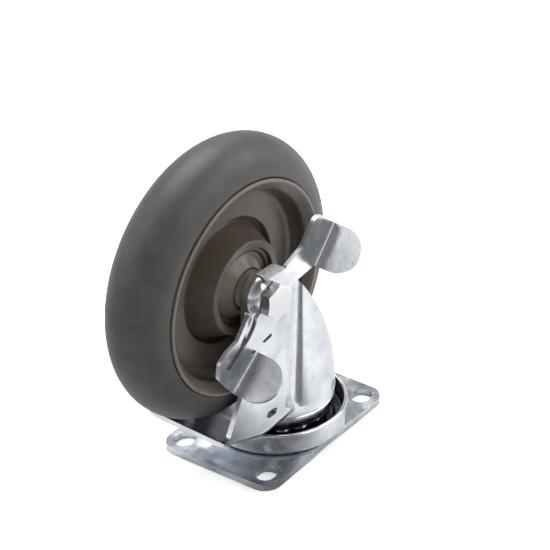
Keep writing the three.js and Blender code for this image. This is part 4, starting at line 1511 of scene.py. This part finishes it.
def bushing(name):
    """A flanged bushing pressed into the core's bore."""
    flange = BOSS_HALF + SEAT_GAP
    return axle_ring(name, [
        (BUSHING_BORE, HUB_HALF, 0.3),
        (BUSHING_BORE, BUSHING_END, 0.3),
        (BUSHING_OUTER, BUSHING_END, 0.3),
        (BUSHING_OUTER, flange),
        (BUSHING_FLANGE, flange, 0.2),
        (BUSHING_FLANGE, HUB_HALF, 0.5),
    ])


# %% Settle them on the axle
HEX_EDGE = 0.18
AXLE_SET = [
    (axle_bolt(), HEX_EDGE, "fork_assembly", "axle_bolt", "zinc_hardware", hardware),
    (lock_nut(), HEX_EDGE, "fork_assembly", "axle_lock_nut", "zinc_hardware", hardware),
    (washer(), 0, "fork_assembly", "axle_washer", "zinc_hardware", hardware),
    (sleeve(), 0, "fork_assembly", "axle_sleeve", "hardened_steel", bearing_steel),
    (bushing("hub_bushing_near"), 0, "wheel", "hub_bushing_brake_side", "bushing_nylon", nylon),
    (far_side(bushing("hub_bushing_far")), 0, "wheel", "hub_bushing_nut_side", "bushing_nylon", nylon),
]

for piece, edge, body, node, slot, material in AXLE_SET:
    settle(soften(piece, edge), body, [node], material, on_axle=True)

# %% [markdown]
# ## King pin, race and balls
# The king pin holds the stack together. The two ball sets repeat one ball round a circle, so a small
# Geometry Nodes tree makes them: count, ball size, circle and height are its inputs.

# %% Turn the pin and the race
PIN_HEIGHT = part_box("king_pin")[1].z / MM
RACE_LOW, RACE_HIGH = [corner.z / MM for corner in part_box("thrust_race")]
PIN_RADIUS = 5.6
RIVET_RADIUS = 8.2
PIN_HEAD_RADIUS = 9.4
PIN_HEAD_HEIGHT = 3.8
RACE_RADIUS = 17
PIN_STEPS = 128
BALL_GROOVE = [(10.6, 0, 0.3), (11.2, 1.2, 0.6), (13.8, 1.2, 0.6), (14.4, 0, 0.3)]


def king_pin():
    """A shank through the whole stack, riveted under the plate and headed over the race."""
    head = PIN_HEIGHT - PIN_HEAD_HEIGHT
    section = rounded([
        (RIVET_RADIUS, 0, 0.5),
        (RIVET_RADIUS, DISH_RISE + 0.1, 0.3),
        (PIN_RADIUS, DISH_TOP - 1.2, 0.3),
        (PIN_RADIUS, head, 0.2),
        (PIN_HEAD_RADIUS, head, 0.4),
        (PIN_HEAD_RADIUS, head + 1.6, 0.5),
        (5.4, PIN_HEIGHT - 0.35, 2.2),
        (2.5, PIN_HEIGHT),
    ])
    return turned("king_pin_riveted", [(0, 0), *section, (0, PIN_HEIGHT)], PIN_STEPS)


def thrust_race():
    """A pressed ring with a groove underneath for the thrust balls."""
    groove = [(radius, RACE_LOW + rise, bend) for radius, rise, bend in BALL_GROOVE]
    section = rounded([
        (PIN_HOLE, RACE_LOW),
        *groove,
        (RACE_RADIUS, RACE_LOW, 0.3),
        (RACE_RADIUS, RACE_HIGH, 0.8),
        (PIN_HOLE, RACE_HIGH, 0.3),
    ], steps=5)
    return turned("thrust_race_pressed", section, PIN_STEPS)


settle(soften(king_pin()), "base", ["king_pin"], hardware, swivels=False)
settle(soften(thrust_race()), "base", ["thrust_race"], bearing_steel, swivels=False)

# %% Build the ball rings with Geometry Nodes
BALL_INPUTS = {
    "Count": "NodeSocketInt",
    "Ball Radius": "NodeSocketFloat",
    "Circle Radius": "NodeSocketFloat",
    "Height": "NodeSocketFloat",
    "Material": "NodeSocketMaterial",
}
BALL_ROUNDNESS = 4


def ball_ring_tree():
    """One ball, set on each point of a circle, lifted to its height and painted."""
    tree = bpy.data.node_groups.new("ball_ring", "GeometryNodeTree")
    tree.interface.new_socket("Geometry", in_out="OUTPUT", socket_type="NodeSocketGeometry")
    for name, kind in BALL_INPUTS.items():
        tree.interface.new_socket(name, in_out="INPUT", socket_type=kind)
    given = add_node(tree, "NodeGroupInput").outputs
    circle = add_node(tree, "GeometryNodeMeshCircle", Vertices=given["Count"], Radius=given["Circle Radius"])
    ball = add_node(tree, "GeometryNodeMeshIcoSphere", Radius=given["Ball Radius"],
                    Subdivisions=BALL_ROUNDNESS)
    smooth = add_node(tree, "GeometryNodeSetShadeSmooth", Geometry=ball.outputs["Mesh"])
    balls = add_node(tree, "GeometryNodeInstanceOnPoints", Points=circle.outputs["Mesh"],
                     Instance=smooth.outputs["Geometry"])
    lift = add_node(tree, "ShaderNodeCombineXYZ", Z=given["Height"])
    raised = add_node(tree, "GeometryNodeTransform", Geometry=balls.outputs["Instances"],
                      Translation=lift.outputs["Vector"])
    real = add_node(tree, "GeometryNodeRealizeInstances", Geometry=raised.outputs["Geometry"])
    painted = add_node(tree, "GeometryNodeSetMaterial", Geometry=real.outputs["Geometry"],
                       Material=given["Material"])
    add_node(tree, "NodeGroupOutput", Geometry=painted.outputs["Geometry"])
    return tree


def ball_ring(name, tree, label, count, radius, circle):
    """A ring of balls at the height of the CAD's first ball of that label, as one plain mesh."""
    low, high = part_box(label + "_01")
    values = {"Count": count, "Ball Radius": radius * MM, "Circle Radius": circle * MM,
              "Height": (low.z + high.z) / 2, "Material": bearing_steel}
    piece = new_piece(name, [], [])
    maker = piece.modifiers.new("balls", "NODES")
    maker.node_group = tree
    for item in tree.interface.items_tree:
        if item.in_out == "INPUT":
            maker[item.identifier] = values[item.name]
    bake_modifiers(piece)
    hand_over(piece, "ball_sets", [f"{label}_{i + 1:02d}" for i in range(count)])


ball_tree = ball_ring_tree()
ball_ring("main_balls", ball_tree, "main_ball", count=16, radius=3.97, circle=21.5)
ball_ring("thrust_balls", ball_tree, "thrust_ball", count=14, radius=2.38, circle=12.5)
